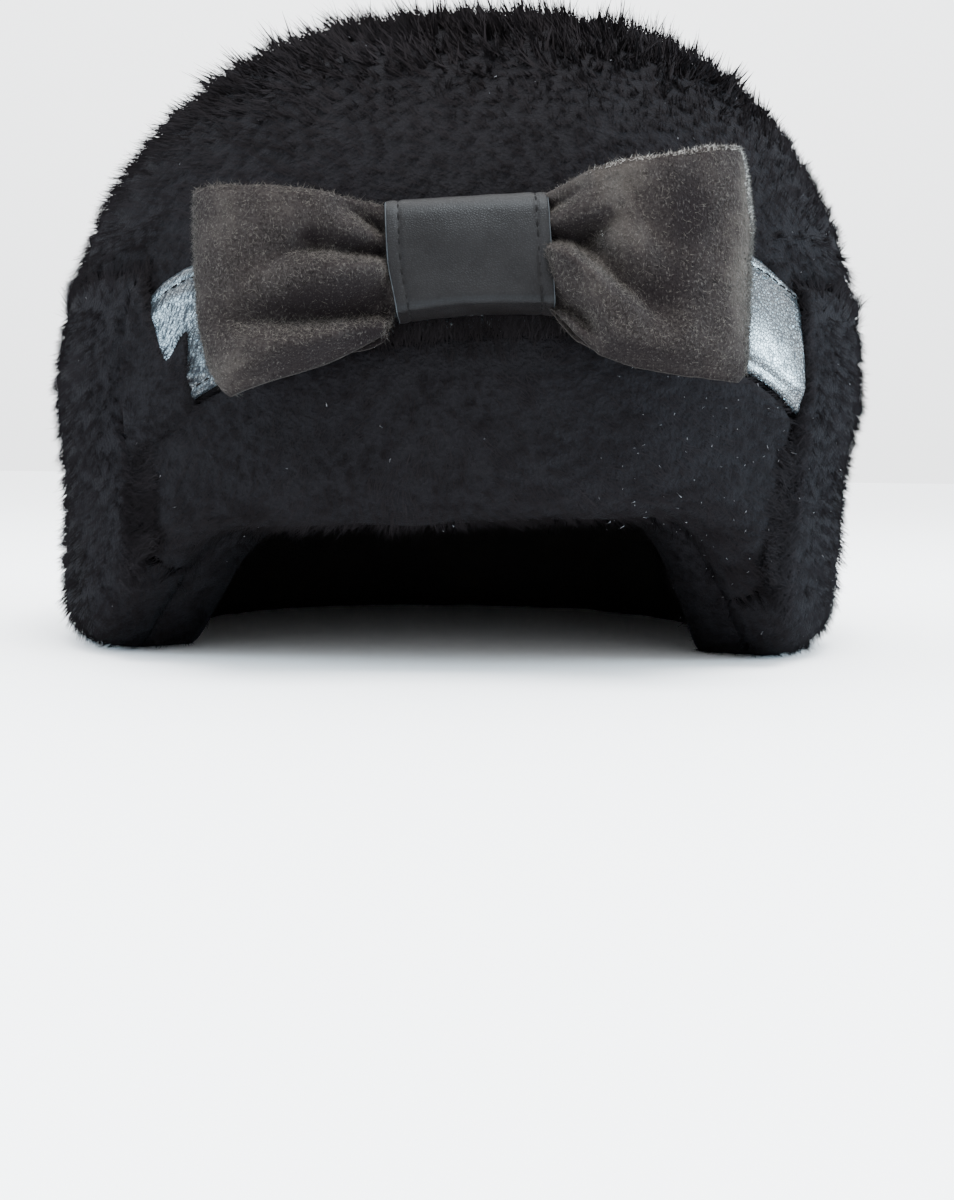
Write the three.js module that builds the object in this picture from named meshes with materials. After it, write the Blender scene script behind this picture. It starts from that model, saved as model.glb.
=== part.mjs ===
// A fur hat for the head, with its flaps turned up, a leather band across the front and a suede bow.
// Millimetres, +Z up, the front faces -Y. The rim rests at z = 0 at the sides and the back.
// An azimuth of 0 is the middle of the front, and it grows towards +X.

import * as THREE from 'three';

// Driving sizes of the outer fur surface
const HALF_WIDTH = 118.5;
const HALF_LENGTH = 133;
const TOTAL_HEIGHT = 175;
const PLAN_EXPONENT = 2.25;
const DOME_START = 66;
const DOME_EXPONENT = 2.4;
const CROWN_STEP_BACK = 2;
const CROWN_LEAN = 0.05;
const TOP_INSET_SHARE = 0.25;
const RIM_SIDE_SHIFT = -4;
const RIM_SHIFT_HEIGHT = 110;

// Rim and head opening
const FRONT_ARCH = 36.5;
const ARCH_LEAN = 0.035;
const ARCH_FLAT_AZIMUTH = 27;
const ARCH_FOOT_AZIMUTH = 60;
const FLAP_THICKNESS = 17;
const RIM_THICKNESS = 32;
const HOLLOW_WIDENING = 7;
const HOLLOW_DOME_START = 104;
const TOP_WALL = 15;

// Where the crown bulges out over the flaps and the band
const BULGE_LIP_RISE = 2.5;
const BULGE_LIP_DEPTH = 0.6;
const BULGE_RISE = 7;
const SIDE_SHELF_DEPTH = 5.4;

// Flaps
const FLAP_TOP = 97;
const FLAP_EDGE_LEFT = -39.5;
const FLAP_EDGE_RIGHT = 45.5;
const FLAP_CHANNEL = 1.5;
const FLAP_BOTTOM_ROUND = 12;
const FLAP_BOTTOM_ROUND_SHARE = 0.3;
const FLAP_TOP_ROUND = 9;
const CORNER_MIDDLE = 0.3;
const END_INNER_GAP = 0.8;
const END_EDGE = 0.6;
const PIECE_GAP = 0.45;
const BAND_FLAP_GAP = 0.675;
const STEP_HALF_ANGLE = 0.4;
const ANGLE_ROUNDING = 0.01;

// Leather band
const BAND_WIDTH = 24;
const BAND_THICKNESS = 1.4;
const BAND_DEPTH = 2.2;
const BAND_CENTRE_LOW = 81;
const BAND_DROP_LEFT = 27;
const BAND_DROP_RIGHT = 22;
const BAND_EXTRA_LEFT = 15;
const BAND_EXTRA_RIGHT = 9;
const BAND_END_AZIMUTH = 44;
const BAND_DROP_POWER = 2.2;
const BAND_LEAN = 0.075;

// Bow and its knot
const KNOT_HEIGHT_ON_HAT = 96.2;
const KNOT_SIDE_STEP = 0.9;
const BOW_TILT = 4;
const BOW_SEAT_GAP = 0.8;
const BOW_WALL = 1.3;
const BOW_LEFT_WIDTH = 56.8;
const BOW_RIGHT_WIDTH = 62.5;
const BOW_END_FLARE = 2;
const BOW_PINCH_HALF_HEIGHT = 12;
const BOW_FRONT_PUFF = 8.5;
const BOW_PINCH_DEPTH = 3.3;
const BOW_BACK_SLOPE = 0.13;
const BOW_OPENING_REACH = 22;
const BOW_PLEAT = 1.1;
const BOW_PLEAT_FADE = 15;
const BOW_PLEAT_TURNS = 7;
const BOW_BACK_PLEAT = 0.4;
const BOW_PINCH_THINNING = 0.4;
const BOW_END_ROUNDNESS = 5;
const KNOT_HALF_WIDTH = 17.7;
const KNOT_WALL = 1.4;
const KNOT_CORNER = 3.2;
const KNOT_BULGE = 0.8;

// Facets
const COLUMN_STEP = 6;
const DOME_ROWS = 9;
const ROW_CLIMB = 0.9;
const HOLLOW_DOME_ROWS = 8;
const BOW_ROWS = 5;
const BOW_END_STATIONS = [0.9, 0.96, 0.992];
const KNOT_COLUMNS = 4;
const KNOT_CORNER_STEPS = 3;
const WALL_ROWS = [1, 0.66, 0.33, 0];
const HOLLOW_WALL_ROWS = [0, 0.3, 0.65, 1];

const rad = THREE.MathUtils.degToRad;
const lerp = THREE.MathUtils.lerp;
const signedPower = (value, power) => Math.sign(value) * Math.abs(value) ** power;

function smooth(value) {
  const t = THREE.MathUtils.clamp(value, 0, 1);
  return t * t * (3 - 2 * t);
}

// Width of the flaps as a share of the widest, from the rim up: slightly waisted near the rim
const FLAP_PROFILE = [
  { z: 0, share: 0.958 },
  { z: 20, share: 0.968 },
  { z: 45, share: 0.972 },
  { z: 70, share: 1.0 },
  { z: 90, share: 0.985 },
  { z: 105, share: 0.963 },
  { z: 120, share: 0.935 },
];

function flapShare(z) {
  if (z <= FLAP_PROFILE[0].z) return FLAP_PROFILE[0].share;
  for (let i = 1; i < FLAP_PROFILE.length; i += 1) {
    const low = FLAP_PROFILE[i - 1];
    const high = FLAP_PROFILE[i];
    if (z <= high.z) return lerp(low.share, high.share, (z - low.z) / (high.z - low.z));
  }
  return FLAP_PROFILE[FLAP_PROFILE.length - 1].share;
}

// Share of the full plan at height z on a dome that starts at one height and closes at another
function domeShare(z, start, top) {
  if (z <= start) return 1;
  const rise = Math.min((z - start) / (top - start), 1);
  return (1 - rise ** DOME_EXPONENT) ** (1 / DOME_EXPONENT);
}

// A point of the plan at height z. The soft hat sits a little to -X at its rim.
function planPoint(azimuth, halfWidth, halfLength, z) {
  const angle = rad(azimuth);
  const power = 2 / PLAN_EXPONENT;
  const shift = RIM_SIDE_SHIFT * Math.max(0, 1 - z / RIM_SHIFT_HEIGHT);
  return new THREE.Vector3(
    halfWidth * signedPower(Math.sin(angle), power) + shift,
    -halfLength * signedPower(Math.cos(angle), power),
    z,
  );
}

// A point on the flaps' outer form, or a given depth inside it
function flapPoint(azimuth, z, depth) {
  const share = flapShare(z);
  return planPoint(azimuth, HALF_WIDTH * share - depth, HALF_LENGTH * share - depth, z);
}

// A point on the crown's outer form, or a given depth inside it. The dome is a little higher at +X.
function crownPoint(azimuth, z, depth) {
  const share = domeShare(z, DOME_START, TOTAL_HEIGHT);
  const inset = (CROWN_STEP_BACK + depth) * Math.min(1, share / TOP_INSET_SHARE);
  const halfWidth = Math.max(0, HALF_WIDTH * share - inset);
  const halfLength = Math.max(0, HALF_LENGTH * share - inset);
  const point = planPoint(azimuth, halfWidth, halfLength, z);
  point.z += CROWN_LEAN * point.x * smooth((z - FLAP_TOP) / (TOTAL_HEIGHT - FLAP_TOP));
  return point;
}

// A point on the wall of the hollow that takes the head
function hollowPoint(azimuth, z) {
  const top = TOTAL_HEIGHT - TOP_WALL;
  const widening = HOLLOW_WIDENING * smooth(z / HOLLOW_DOME_START);
  const share = domeShare(z, HOLLOW_DOME_START, top);
  const rimShare = FLAP_PROFILE[0].share;
  const halfWidth = HALF_WIDTH * rimShare - RIM_THICKNESS + widening;
  const halfLength = HALF_LENGTH * rimShare - RIM_THICKNESS + widening;
  return planPoint(azimuth, halfWidth * share, halfLength * share, z);
}

const sideways = (azimuth) => planPoint(azimuth, HALF_WIDTH, HALF_LENGTH, 0).x;

// Height of the rim: flat at the sides and the back, arched up over the face
function rimHeight(azimuth) {
  const foot = (Math.abs(azimuth) - ARCH_FLAT_AZIMUTH) / (ARCH_FOOT_AZIMUTH - ARCH_FLAT_AZIMUTH);
  return (FRONT_ARCH + ARCH_LEAN * sideways(azimuth)) * (1 - smooth(foot));
}

// The band is an arch: it drops and widens towards its two ends, more so at -X, and leans up towards +X
function bandLow(azimuth) {
  const endDrop = azimuth < 0 ? BAND_DROP_LEFT : BAND_DROP_RIGHT;
  const drop = endDrop * (Math.abs(azimuth) / BAND_END_AZIMUTH) ** BAND_DROP_POWER;
  return BAND_CENTRE_LOW - drop + BAND_LEAN * sideways(azimuth);
}

function bandHigh(azimuth) {
  const extra = azimuth < 0 ? BAND_EXTRA_LEFT : BAND_EXTRA_RIGHT;
  return bandLow(azimuth) + BAND_WIDTH + extra * (azimuth / BAND_END_AZIMUTH) ** 2;
}

const isFront = (azimuth) => azimuth > FLAP_EDGE_LEFT && azimuth < FLAP_EDGE_RIGHT;
const flapTop = (azimuth) => (isFront(azimuth) ? bandLow(azimuth) - BAND_FLAP_GAP : FLAP_TOP);

// How far the outer face is pulled in, by the distance in degrees from the flap's end
const END_ROUND = [
  { fromEnd: 0, thinning: 8 },
  { fromEnd: 1, thinning: 3.4 },
  { fromEnd: 2.6, thinning: 1 },
  { fromEnd: 5, thinning: 0 },
];

// Azimuths of the sections of a flap, closer together at its two round ends. What lies under the flap
// has the same ones, so that the faces run side by side.
function flapAzimuths(from, to) {
  const ends = END_ROUND.map((row) => row.fromEnd);
  const last = ends[ends.length - 1];
  const list = ends.map((fromEnd) => from + fromEnd);
  const first = Math.ceil((from + last + 1) / COLUMN_STEP) * COLUMN_STEP;
  for (let azimuth = first; azimuth < to - last - 1; azimuth += COLUMN_STEP) list.push(azimuth);
  return [...list, ...ends.reverse().map((fromEnd) => to - fromEnd)];
}

const toHalfTurn = (azimuth) => (azimuth > 180 ? azimuth - 360 : azimuth);
const FRONT_AZIMUTHS = flapAzimuths(FLAP_EDGE_LEFT + STEP_HALF_ANGLE, FLAP_EDGE_RIGHT - STEP_HALF_ANGLE);
const SIDE_BACK_AZIMUTHS = flapAzimuths(FLAP_EDGE_RIGHT + FLAP_CHANNEL, 360 + FLAP_EDGE_LEFT - FLAP_CHANNEL);

// Joins a list of sections into one closed body. Each section is a loop of as many points.
// With closed true the last section joins the first, and otherwise both ends get a cap.
function loftLoops(sections, closed) {
  const points = sections.flat();
  const count = sections[0].length;
  const faces = [];
  const bands = closed ? sections.length : sections.length - 1;
  for (let i = 0; i < bands; i += 1) {
    const here = i * count;
    const next = ((i + 1) % sections.length) * count;
    for (let j = 0; j < count; j += 1) {
      const k = (j + 1) % count;
      faces.push([here + j, next + j, next + k], [here + j, next + k, here + k]);
    }
  }
  if (!closed) {
    const capped = [0, (sections.length - 1) * count];
    capped.forEach((start, end) => {
      const middle = points.length;
      const loop = points.slice(start, start + count);
      points.push(loop.reduce((sum, p) => sum.add(p), new THREE.Vector3()).divideScalar(count));
      for (let j = 0; j < count; j += 1) {
        const pair = [start + j, start + (j + 1) % count];
        faces.push(end === 0 ? [middle, ...pair] : [middle, pair[1], pair[0]]);
      }
    });
  }
  return toGeometry(points, faces);
}

// Joins rings that go all round between two poles, such as the outside and the inside of a bowl
function loftBetweenPoles(firstPole, rings, lastPole) {
  const points = rings.flat();
  const count = rings[0].length;
  const faces = [];
  for (let i = 0; i < rings.length - 1; i += 1) {
    for (let j = 0; j < count; j += 1) {
      const k = (j + 1) % count;
      const a = i * count + j;
      const b = i * count + k;
      faces.push([a, a + count, b + count], [a, b + count, b]);
    }
  }
  const first = points.push(firstPole) - 1;
  const last = points.push(lastPole) - 1;
  const lastRing = (rings.length - 1) * count;
  for (let j = 0; j < count; j += 1) {
    const k = (j + 1) % count;
    faces.push([first, j, k], [last, lastRing + k, lastRing + j]);
  }
  return toGeometry(points, faces);
}

// A geometry from points and faces, turned inside out where its faces point inwards
function toGeometry(points, faces) {
  let volume = 0;
  faces.forEach(([a, b, c]) => {
    volume += points[a].dot(new THREE.Vector3().crossVectors(points[b], points[c])) / 6;
  });
  const index = faces.flatMap(([a, b, c]) => (volume > 0 ? [a, b, c] : [a, c, b]));
  const geometry = new THREE.BufferGeometry();
  geometry.setAttribute('position', new THREE.Float32BufferAttribute(points.flatMap((p) => p.toArray()), 3));
  geometry.setIndex(index);
  geometry.computeVertexNormals();
  return geometry;
}

// Heights of rows that climb a dome, closer together where it closes
function climbRows(low, high, rows) {
  const heights = [];
  for (let i = 0; i < rows; i += 1) {
    heights.push(lerp(low, high, Math.sin((i / rows) * Math.PI / 2) ** ROW_CLIMB));
  }
  return heights;
}

// Crown: a fur dome over a thinner wall that the flaps and the band lie on. A column runs from the top
// down its outside and up again inside.
function crownColumn(azimuth) {
  const front = isFront(azimuth);
  const wallDepth = FLAP_THICKNESS + PIECE_GAP;
  const shelf = flapTop(azimuth) + PIECE_GAP;
  const bulge = front ? bandHigh(azimuth) + PIECE_GAP : shelf;
  const bedDepth = front ? BAND_DEPTH + BAND_THICKNESS + PIECE_GAP : SIDE_SHELF_DEPTH;
  const shelfDepth = front ? bedDepth : lerp(bedDepth, wallDepth, 0.5);
  const low = rimHeight(azimuth);
  const domeHeights = climbRows(bulge + BULGE_RISE, TOTAL_HEIGHT, DOME_ROWS).reverse();
  return [
    ...domeHeights.map((z) => crownPoint(azimuth, z, 0)),
    crownPoint(azimuth, bulge + BULGE_LIP_RISE, BULGE_LIP_DEPTH),
    flapPoint(azimuth, bulge, bedDepth),
    flapPoint(azimuth, shelf, shelfDepth),
    flapPoint(azimuth, shelf, wallDepth),
    ...WALL_ROWS.map((share) => flapPoint(azimuth, lerp(low, flapTop(azimuth), share), wallDepth)),
    ...HOLLOW_WALL_ROWS.map((share) => hollowPoint(azimuth, lerp(low, HOLLOW_DOME_START, share))),
    ...climbRows(HOLLOW_DOME_START, TOTAL_HEIGHT - TOP_WALL, HOLLOW_DOME_ROWS).slice(1)
      .map((z) => hollowPoint(azimuth, z)),
  ];
}

function crown() {
  const stepRight = FLAP_EDGE_RIGHT + STEP_HALF_ANGLE;
  const stepLeft = FLAP_EDGE_LEFT - STEP_HALF_ANGLE;
  const azimuths = [...FRONT_AZIMUTHS, stepRight, ...SIDE_BACK_AZIMUTHS.map(toHalfTurn), stepLeft];
  const all = azimuths.map(crownColumn);
  const rings = all[0].map((_, row) => all.map((column) => column[row]));
  const top = new THREE.Vector3(0, 0, TOTAL_HEIGHT);
  const hollowTop = new THREE.Vector3(0, 0, TOTAL_HEIGHT - TOP_WALL);
  return loftBetweenPoles(top, rings, hollowTop);
}

// One section of a turned-up flap, with round corners outside at the rim and at the top.
// Thinning pulls its outer face in, near the flap's two upright ends.
function flapSection(azimuth, thinning) {
  const low = rimHeight(azimuth);
  const top = flapTop(azimuth);
  const inner = FLAP_THICKNESS - END_INNER_GAP * (thinning / END_ROUND[0].thinning);
  const bottomRound = Math.min(FLAP_BOTTOM_ROUND, (top - low) * FLAP_BOTTOM_ROUND_SHARE);
  const topRound = FLAP_TOP_ROUND;
  const outer = [
    { z: low, depth: bottomRound },
    { z: low + bottomRound * CORNER_MIDDLE, depth: bottomRound * CORNER_MIDDLE },
    { z: low + bottomRound, depth: 0 },
    { z: lerp(low + bottomRound, top - topRound, 0.5), depth: 0 },
    { z: top - topRound, depth: 0 },
    { z: top - topRound * CORNER_MIDDLE, depth: topRound * CORNER_MIDDLE },
    { z: top, depth: topRound },
  ];
  return [
    ...outer.map(({ z, depth }) => flapPoint(azimuth, z, Math.min(inner - END_EDGE, depth + thinning))),
    ...WALL_ROWS.map((share) => flapPoint(azimuth, lerp(low, top, share), inner)),
  ];
}

function flap(azimuths) {
  const from = azimuths[0];
  const to = azimuths[azimuths.length - 1];
  const sections = azimuths.map((azimuth) => {
    const fromEnd = Math.min(azimuth - from, to - azimuth);
    const thinning = END_ROUND.find((row) => fromEnd <= row.fromEnd + ANGLE_ROUNDING)?.thinning ?? 0;
    return flapSection(toHalfTurn(azimuth), thinning);
  });
  return loftLoops(sections, false);
}

const frontFlap = () => flap(FRONT_AZIMUTHS);
const sideBackFlap = () => flap(SIDE_BACK_AZIMUTHS);

// Band: a strap over the front, its ends at the flap's upright edges
function band() {
  const sections = FRONT_AZIMUTHS.map((azimuth) => {
    const low = bandLow(azimuth);
    const high = bandHigh(azimuth);
    const inner = BAND_DEPTH + BAND_THICKNESS;
    return [
      flapPoint(azimuth, low, BAND_DEPTH),
      flapPoint(azimuth, high, BAND_DEPTH),
      flapPoint(azimuth, high, inner),
      flapPoint(azimuth, low, inner),
    ];
  });
  return loftLoops(sections, false);
}

// Bow: one suede ring, pinched in the middle. In its own frame x is along it, y points to the back
// and z is up. This is the top and the low edge of each loop, by the distance from the knot's middle.
const BOW_EDGES = [
  { reach: 0, leftTop: 12, leftLow: -12, rightTop: 12, rightLow: -12 },
  { reach: 18.2, leftTop: 12, leftLow: -12, rightTop: 12, rightLow: -12 },
  { reach: 20, leftTop: 13.2, leftLow: -17, rightTop: 14, rightLow: -13 },
  { reach: 23, leftTop: 14.2, leftLow: -18.8, rightTop: 16, rightLow: -16.8 },
  { reach: 28, leftTop: 15.6, leftLow: -21, rightTop: 18.3, rightLow: -20.8 },
  { reach: 36, leftTop: 17.8, leftLow: -23.2, rightTop: 20, rightLow: -24.5 },
  { reach: 46, leftTop: 19.5, leftLow: -25.7, rightTop: 20.3, rightLow: -27 },
  { reach: 61, leftTop: 20, leftLow: -28.5, rightTop: 20.4, rightLow: -30.3 },
];

function bowEdges(x) {
  const reach = Math.min(Math.abs(x), BOW_EDGES[BOW_EDGES.length - 1].reach);
  const above = Math.max(1, BOW_EDGES.findIndex((row) => reach <= row.reach));
  const near = BOW_EDGES[above - 1];
  const far = BOW_EDGES[above];
  const share = (reach - near.reach) / (far.reach - near.reach);
  const at = (name) => lerp(near[name], far[name], share);
  return x < 0 ? { top: at('leftTop'), low: at('leftLow') } : { top: at('rightTop'), low: at('rightLow') };
}

// How far a layer lies from the bow's middle plane. Side is -1 on the front layer and 1 on the back one.
function bowLayerDepth(x, up, side) {
  const beyondKnot = Math.max(0, Math.abs(x) - KNOT_HALF_WIDTH);
  const opening = smooth(beyondKnot / BOW_OPENING_REACH);
  const front = lerp(BOW_PINCH_DEPTH, BOW_FRONT_PUFF, opening);
  const back = BOW_PINCH_DEPTH + BOW_BACK_SLOPE * beyondKnot;
  const pleat = BOW_PLEAT * Math.cos(up * BOW_PLEAT_TURNS) * Math.exp(-((beyondKnot / BOW_PLEAT_FADE) ** 2));
  const flattened = lerp(1 - BOW_PINCH_THINNING * up ** 4, 1, opening);
  return ((side < 0 ? front : back) + pleat * (side < 0 ? 1 : BOW_BACK_PLEAT)) * flattened;
}

function bowPoint(along, side, up, inset) {
  const width = along < 0 ? BOW_LEFT_WIDTH : BOW_RIGHT_WIDTH;
  const x = along * (width - inset);
  const close = Math.sqrt(Math.max(0, 1 - Math.abs(along) ** BOW_END_ROUNDNESS));
  const depth = Math.max(0, bowLayerDepth(x, up, side) - inset) * close;
  const { top, low } = bowEdges(x);
  const flare = BOW_END_FLARE * up * along ** 3;
  return new THREE.Vector3(x + flare, side * depth, lerp(low, top, (up + 1) / 2));
}

// Shares of a loop's width that get a section: one for each row of its edges, and more at its round end
function bowStations(width) {
  const rows = BOW_EDGES.slice(1, -1).map((row) => row.reach / width);
  return [...rows, ...BOW_END_STATIONS];
}

function bow() {
  const left = bowStations(BOW_LEFT_WIDTH).map((share) => -share).reverse();
  const leftToRight = [...left, 0, ...bowStations(BOW_RIGHT_WIDTH)];
  const turns = [
    { along: -1, side: -1 },
    ...leftToRight.map((along) => ({ along, side: -1 })),
    { along: 1, side: 1 },
    ...leftToRight.reverse().map((along) => ({ along, side: 1 })),
  ];
  const rows = [];
  for (let j = 0; j <= BOW_ROWS; j += 1) rows.push((j / BOW_ROWS) * 2 - 1);
  const sections = turns.map(({ along, side }) => [
    ...rows.map((up) => bowPoint(along, side, up, 0)),
    ...rows.map((up) => bowPoint(along, side, -up, BOW_WALL)),
  ]);
  return loftLoops(sections, true);
}

// Knot: a leather ring round the bow's middle
const KNOT_HALF_DEPTH = BOW_PINCH_DEPTH + BOW_PLEAT + PIECE_GAP + KNOT_WALL;
const BOW_STAND_OFF = KNOT_HALF_DEPTH + BOW_SEAT_GAP;
const KNOT_HALF_HEIGHT = BOW_PINCH_HALF_HEIGHT + PIECE_GAP + KNOT_WALL;

function knotLoop(x, inset, bulge) {
  const loop = [];
  const corner = KNOT_CORNER - inset;
  const depth = KNOT_HALF_DEPTH - inset - corner;
  const height = KNOT_HALF_HEIGHT - inset - corner;
  [[1, 1], [-1, 1], [-1, -1], [1, -1]].forEach(([y, z], quarter) => {
    for (let step = 0; step <= KNOT_CORNER_STEPS; step += 1) {
      const angle = (quarter + step / KNOT_CORNER_STEPS) * Math.PI / 2;
      const lift = y < 0 ? bulge : 0;
      loop.push(new THREE.Vector3(
        x,
        y * depth + corner * Math.cos(angle) - lift,
        z * height + corner * Math.sin(angle),
      ));
    }
  });
  return loop;
}

function knot() {
  const stations = [];
  for (let i = 0; i <= KNOT_COLUMNS; i += 1) stations.push((i / KNOT_COLUMNS) * 2 - 1);
  const bulgeAt = (share) => KNOT_BULGE * (1 - share * share);
  const outer = stations.map((share) => knotLoop(share * KNOT_HALF_WIDTH, 0, bulgeAt(share)));
  const inner = stations.map((share) => knotLoop(share * KNOT_HALF_WIDTH, KNOT_WALL, bulgeAt(share)));
  return loftLoops([...outer, ...inner.reverse()], true);
}

// Materials: colour, roughness and metalness of each finish
const FINISHES = {
  fur: { color: 0x141419, roughness: 0.95, metalness: 0 },
  gloss_leather: { color: 0x101114, roughness: 0.25, metalness: 0 },
  suede: { color: 0x4b443e, roughness: 1, metalness: 0 },
  matte_leather: { color: 0x303335, roughness: 0.55, metalness: 0 },
};

function piece(name, geometry, finish) {
  const mesh = new THREE.Mesh(geometry, new THREE.MeshStandardMaterial(FINISHES[finish]));
  mesh.name = name;
  return mesh;
}

// The bow and its knot stand on the band, turned so that the bow's +X end is the higher one
const bowGroup = new THREE.Group();
const seatLow = flapPoint(0, BAND_CENTRE_LOW, BAND_DEPTH);
const seatHigh = flapPoint(0, BAND_CENTRE_LOW + BAND_WIDTH, BAND_DEPTH);
const lean = Math.atan2(seatHigh.y - seatLow.y, seatHigh.z - seatLow.z);
bowGroup.add(piece('bow', bow(), 'suede'));
bowGroup.add(piece('knot', knot(), 'matte_leather'));
bowGroup.rotation.set(-lean, rad(-BOW_TILT), 0);
bowGroup.position.lerpVectors(seatLow, seatHigh, (KNOT_HEIGHT_ON_HAT - BAND_CENTRE_LOW) / BAND_WIDTH);
bowGroup.position.add(new THREE.Vector3(0, -Math.cos(lean), Math.sin(-lean)).multiplyScalar(BOW_STAND_OFF));
bowGroup.position.x = KNOT_SIDE_STEP;

const hat = new THREE.Group();
hat.add(piece('crown', crown(), 'fur'));
hat.add(piece('front_flap', frontFlap(), 'fur'));
hat.add(piece('side_back_flap', sideBackFlap(), 'fur'));
hat.add(piece('band', band(), 'gloss_leather'));
hat.add(bowGroup);

// The origin is under the middle of the whole hat, bow included
const middle = new THREE.Box3().setFromObject(hat).getCenter(new THREE.Vector3());
hat.position.set(-middle.x, -middle.y, 0);

export default hat;
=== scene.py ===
# A worn fur hat with turned-up flaps, a leather band and a suede bow.
# Shapes are worked out in millimetres on the hat, as in the CAD source, and become metres in the frame.

import math

import bpy
import numpy as np
from mathutils import Euler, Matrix, Vector, kdtree, noise


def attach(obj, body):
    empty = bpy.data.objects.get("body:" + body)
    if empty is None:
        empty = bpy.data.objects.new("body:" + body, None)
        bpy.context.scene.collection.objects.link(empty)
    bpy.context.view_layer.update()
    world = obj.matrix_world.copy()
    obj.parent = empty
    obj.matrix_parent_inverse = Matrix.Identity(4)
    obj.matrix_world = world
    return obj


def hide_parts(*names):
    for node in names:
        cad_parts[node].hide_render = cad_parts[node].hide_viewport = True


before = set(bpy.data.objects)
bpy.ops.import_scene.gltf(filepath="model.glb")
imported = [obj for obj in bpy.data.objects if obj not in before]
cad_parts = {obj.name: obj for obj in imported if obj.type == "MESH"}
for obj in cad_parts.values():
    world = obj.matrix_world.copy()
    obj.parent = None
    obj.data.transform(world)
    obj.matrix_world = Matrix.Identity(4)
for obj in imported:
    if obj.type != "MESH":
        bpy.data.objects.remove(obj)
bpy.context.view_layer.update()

METRES = 0.001
HAT_MIDDLE = np.array([0.9636, 8.1145, 0.0])

# The outer form of the hat, the same sizes as in the CAD source. Azimuths are in degrees: 0 is the front,
# and they grow towards +X.
HALF_WIDTH = 118.5
HALF_LENGTH = 133.0
TOTAL_HEIGHT = 175.0
PLAN_EXPONENT = 2.25
DOME_START = 66.0
DOME_EXPONENT = 2.4
CROWN_STEP_BACK = 2.0
CROWN_LEAN = 0.05
TOP_INSET_SHARE = 0.25
RIM_SIDE_SHIFT = -4.0
RIM_SHIFT_HEIGHT = 110.0
FRONT_ARCH = 36.5
ARCH_LEAN = 0.035
ARCH_FLAT_AZIMUTH = 27.0
ARCH_FOOT_AZIMUTH = 60.0
FLAP_THICKNESS = 17.0
RIM_THICKNESS = 32.0
HOLLOW_WIDENING = 7.0
HOLLOW_DOME_START = 104.0
TOP_WALL = 15.0
FLAP_TOP = 97.0
FLAP_EDGE_LEFT = -39.5
FLAP_EDGE_RIGHT = 45.5
FLAP_CHANNEL = 0.5
FLAP_BOTTOM_ROUND = 12.0
FLAP_BOTTOM_ROUND_SHARE = 0.3
FLAP_TOP_ROUND = 3.2
FLAP_LEAST_WALL = 0.6
END_INNER_GAP = 0.8
PIECE_GAP = 0.45
BAND_FLAP_GAP = 0.675
STEP_HALF_ANGLE = 0.4
SIDE_SHELF_DEPTH = 4.6
BAND_WIDTH = 24.0
BAND_THICKNESS = 1.4
BAND_DEPTH = 2.2
BAND_CENTRE_LOW = 81.0
BAND_DROP_LEFT = 27.0
BAND_DROP_RIGHT = 22.0
BAND_EXTRA_LEFT = 15.0
BAND_EXTRA_RIGHT = 9.0
BAND_END_AZIMUTH = 44.0
BAND_DROP_POWER = 2.2
BAND_LEAN = 0.075
PROFILE_HEIGHTS = [0, 20, 45, 70, 90, 105, 120]
PROFILE_SHARES = [0.958, 0.968, 0.972, 1.0, 0.985, 0.963, 0.935]
END_DISTANCES = [0, 1, 2.6, 5]
END_THINNING = [1.2, 0.5, 0.12, 0]

# The band's top edge: its drop at the right corner, its arch at the left, and how deep its seam lies
BAND_CORNER_DROP = 3.2
BAND_CORNER_AZIMUTH = 35.0
BAND_CORNER_SPAN = 10.0
ARCH_PLACES = [-40.0, -39.0, -37.5, -36.0, -33.0, -28.0, -15.0, 0.0]
ARCH_RISES = [-2.3, -1.5, 0.3, 1.5, 2.4, 2.0, 0.5, 0.0]
TOP_SEAM_PLACES = [-40.0, 10.0, 28.0, 44.0]
TOP_SEAM_DEPTHS = [3.3, 3.3, 4.4, 1.9]

# Rows of points on the skins
AZIMUTH_STEP = 2.0
DOME_ROWS = 30
LEDGE_ROWS = 3
WALL_ROWS = 6
RIM_ROWS = 8
HOLLOW_ROWS = 16
HOLLOW_WALL_END = 0.92
DOME_CLIMB_POWER = 0.9
LEDGE_RISE = 2.0
LEDGE_TUCK = 1.6
TURN_ROWS = 6
FACE_ROWS = 12

# Fur: how deep the pelt lies under the outer form, and the size of its strands
PELT_DEPTH = 2.1
PELT_LUMP = 0.9
PELT_LUMP_SIZE = 16.0
STRANDS_PER_CLUMP = 7
STRANDS_PER_PIECE = 47000
STRAND_TOTAL = 168000
STRAND_RADIUS = 0.11
TOP_STOUTNESS = 1.0
CORE_STOUTNESS = 1.5
TOP_CORE_STOUTNESS = 2.5
CLUMPS_PER_TUFT = 4
TUFT_RADIUS = 4.0
TUFT_RELIEF = 0.13
STRAND_SINK = 0.6
STRAND_FLOOR = 0.4
CLUMP_RADIUS = 1.3
SKIN_SHARE = 0.92
FUR_DENSITY = {"end_lobe": 2.2}


def smooth(value):
    t = np.clip(value, 0.0, 1.0)
    return t * t * (3 - 2 * t)


def rise(value, start, span):
    """Climbs from 0 at start to 1 at start + span. With a span below 0 it falls as the value grows."""
    return smooth((value - start) / span)


def bell(value, middle, width):
    """1 at the middle, fading on both sides of it."""
    return np.exp(-(((value - middle) / width) ** 2))


def lerp(a, b, share):
    return a + (b - a) * share


def unit(vectors):
    return vectors / np.maximum(np.linalg.norm(vectors, axis=-1, keepdims=True), 1e-9)


def signed_power(value, power):
    return np.sign(value) * np.abs(value) ** power


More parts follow.
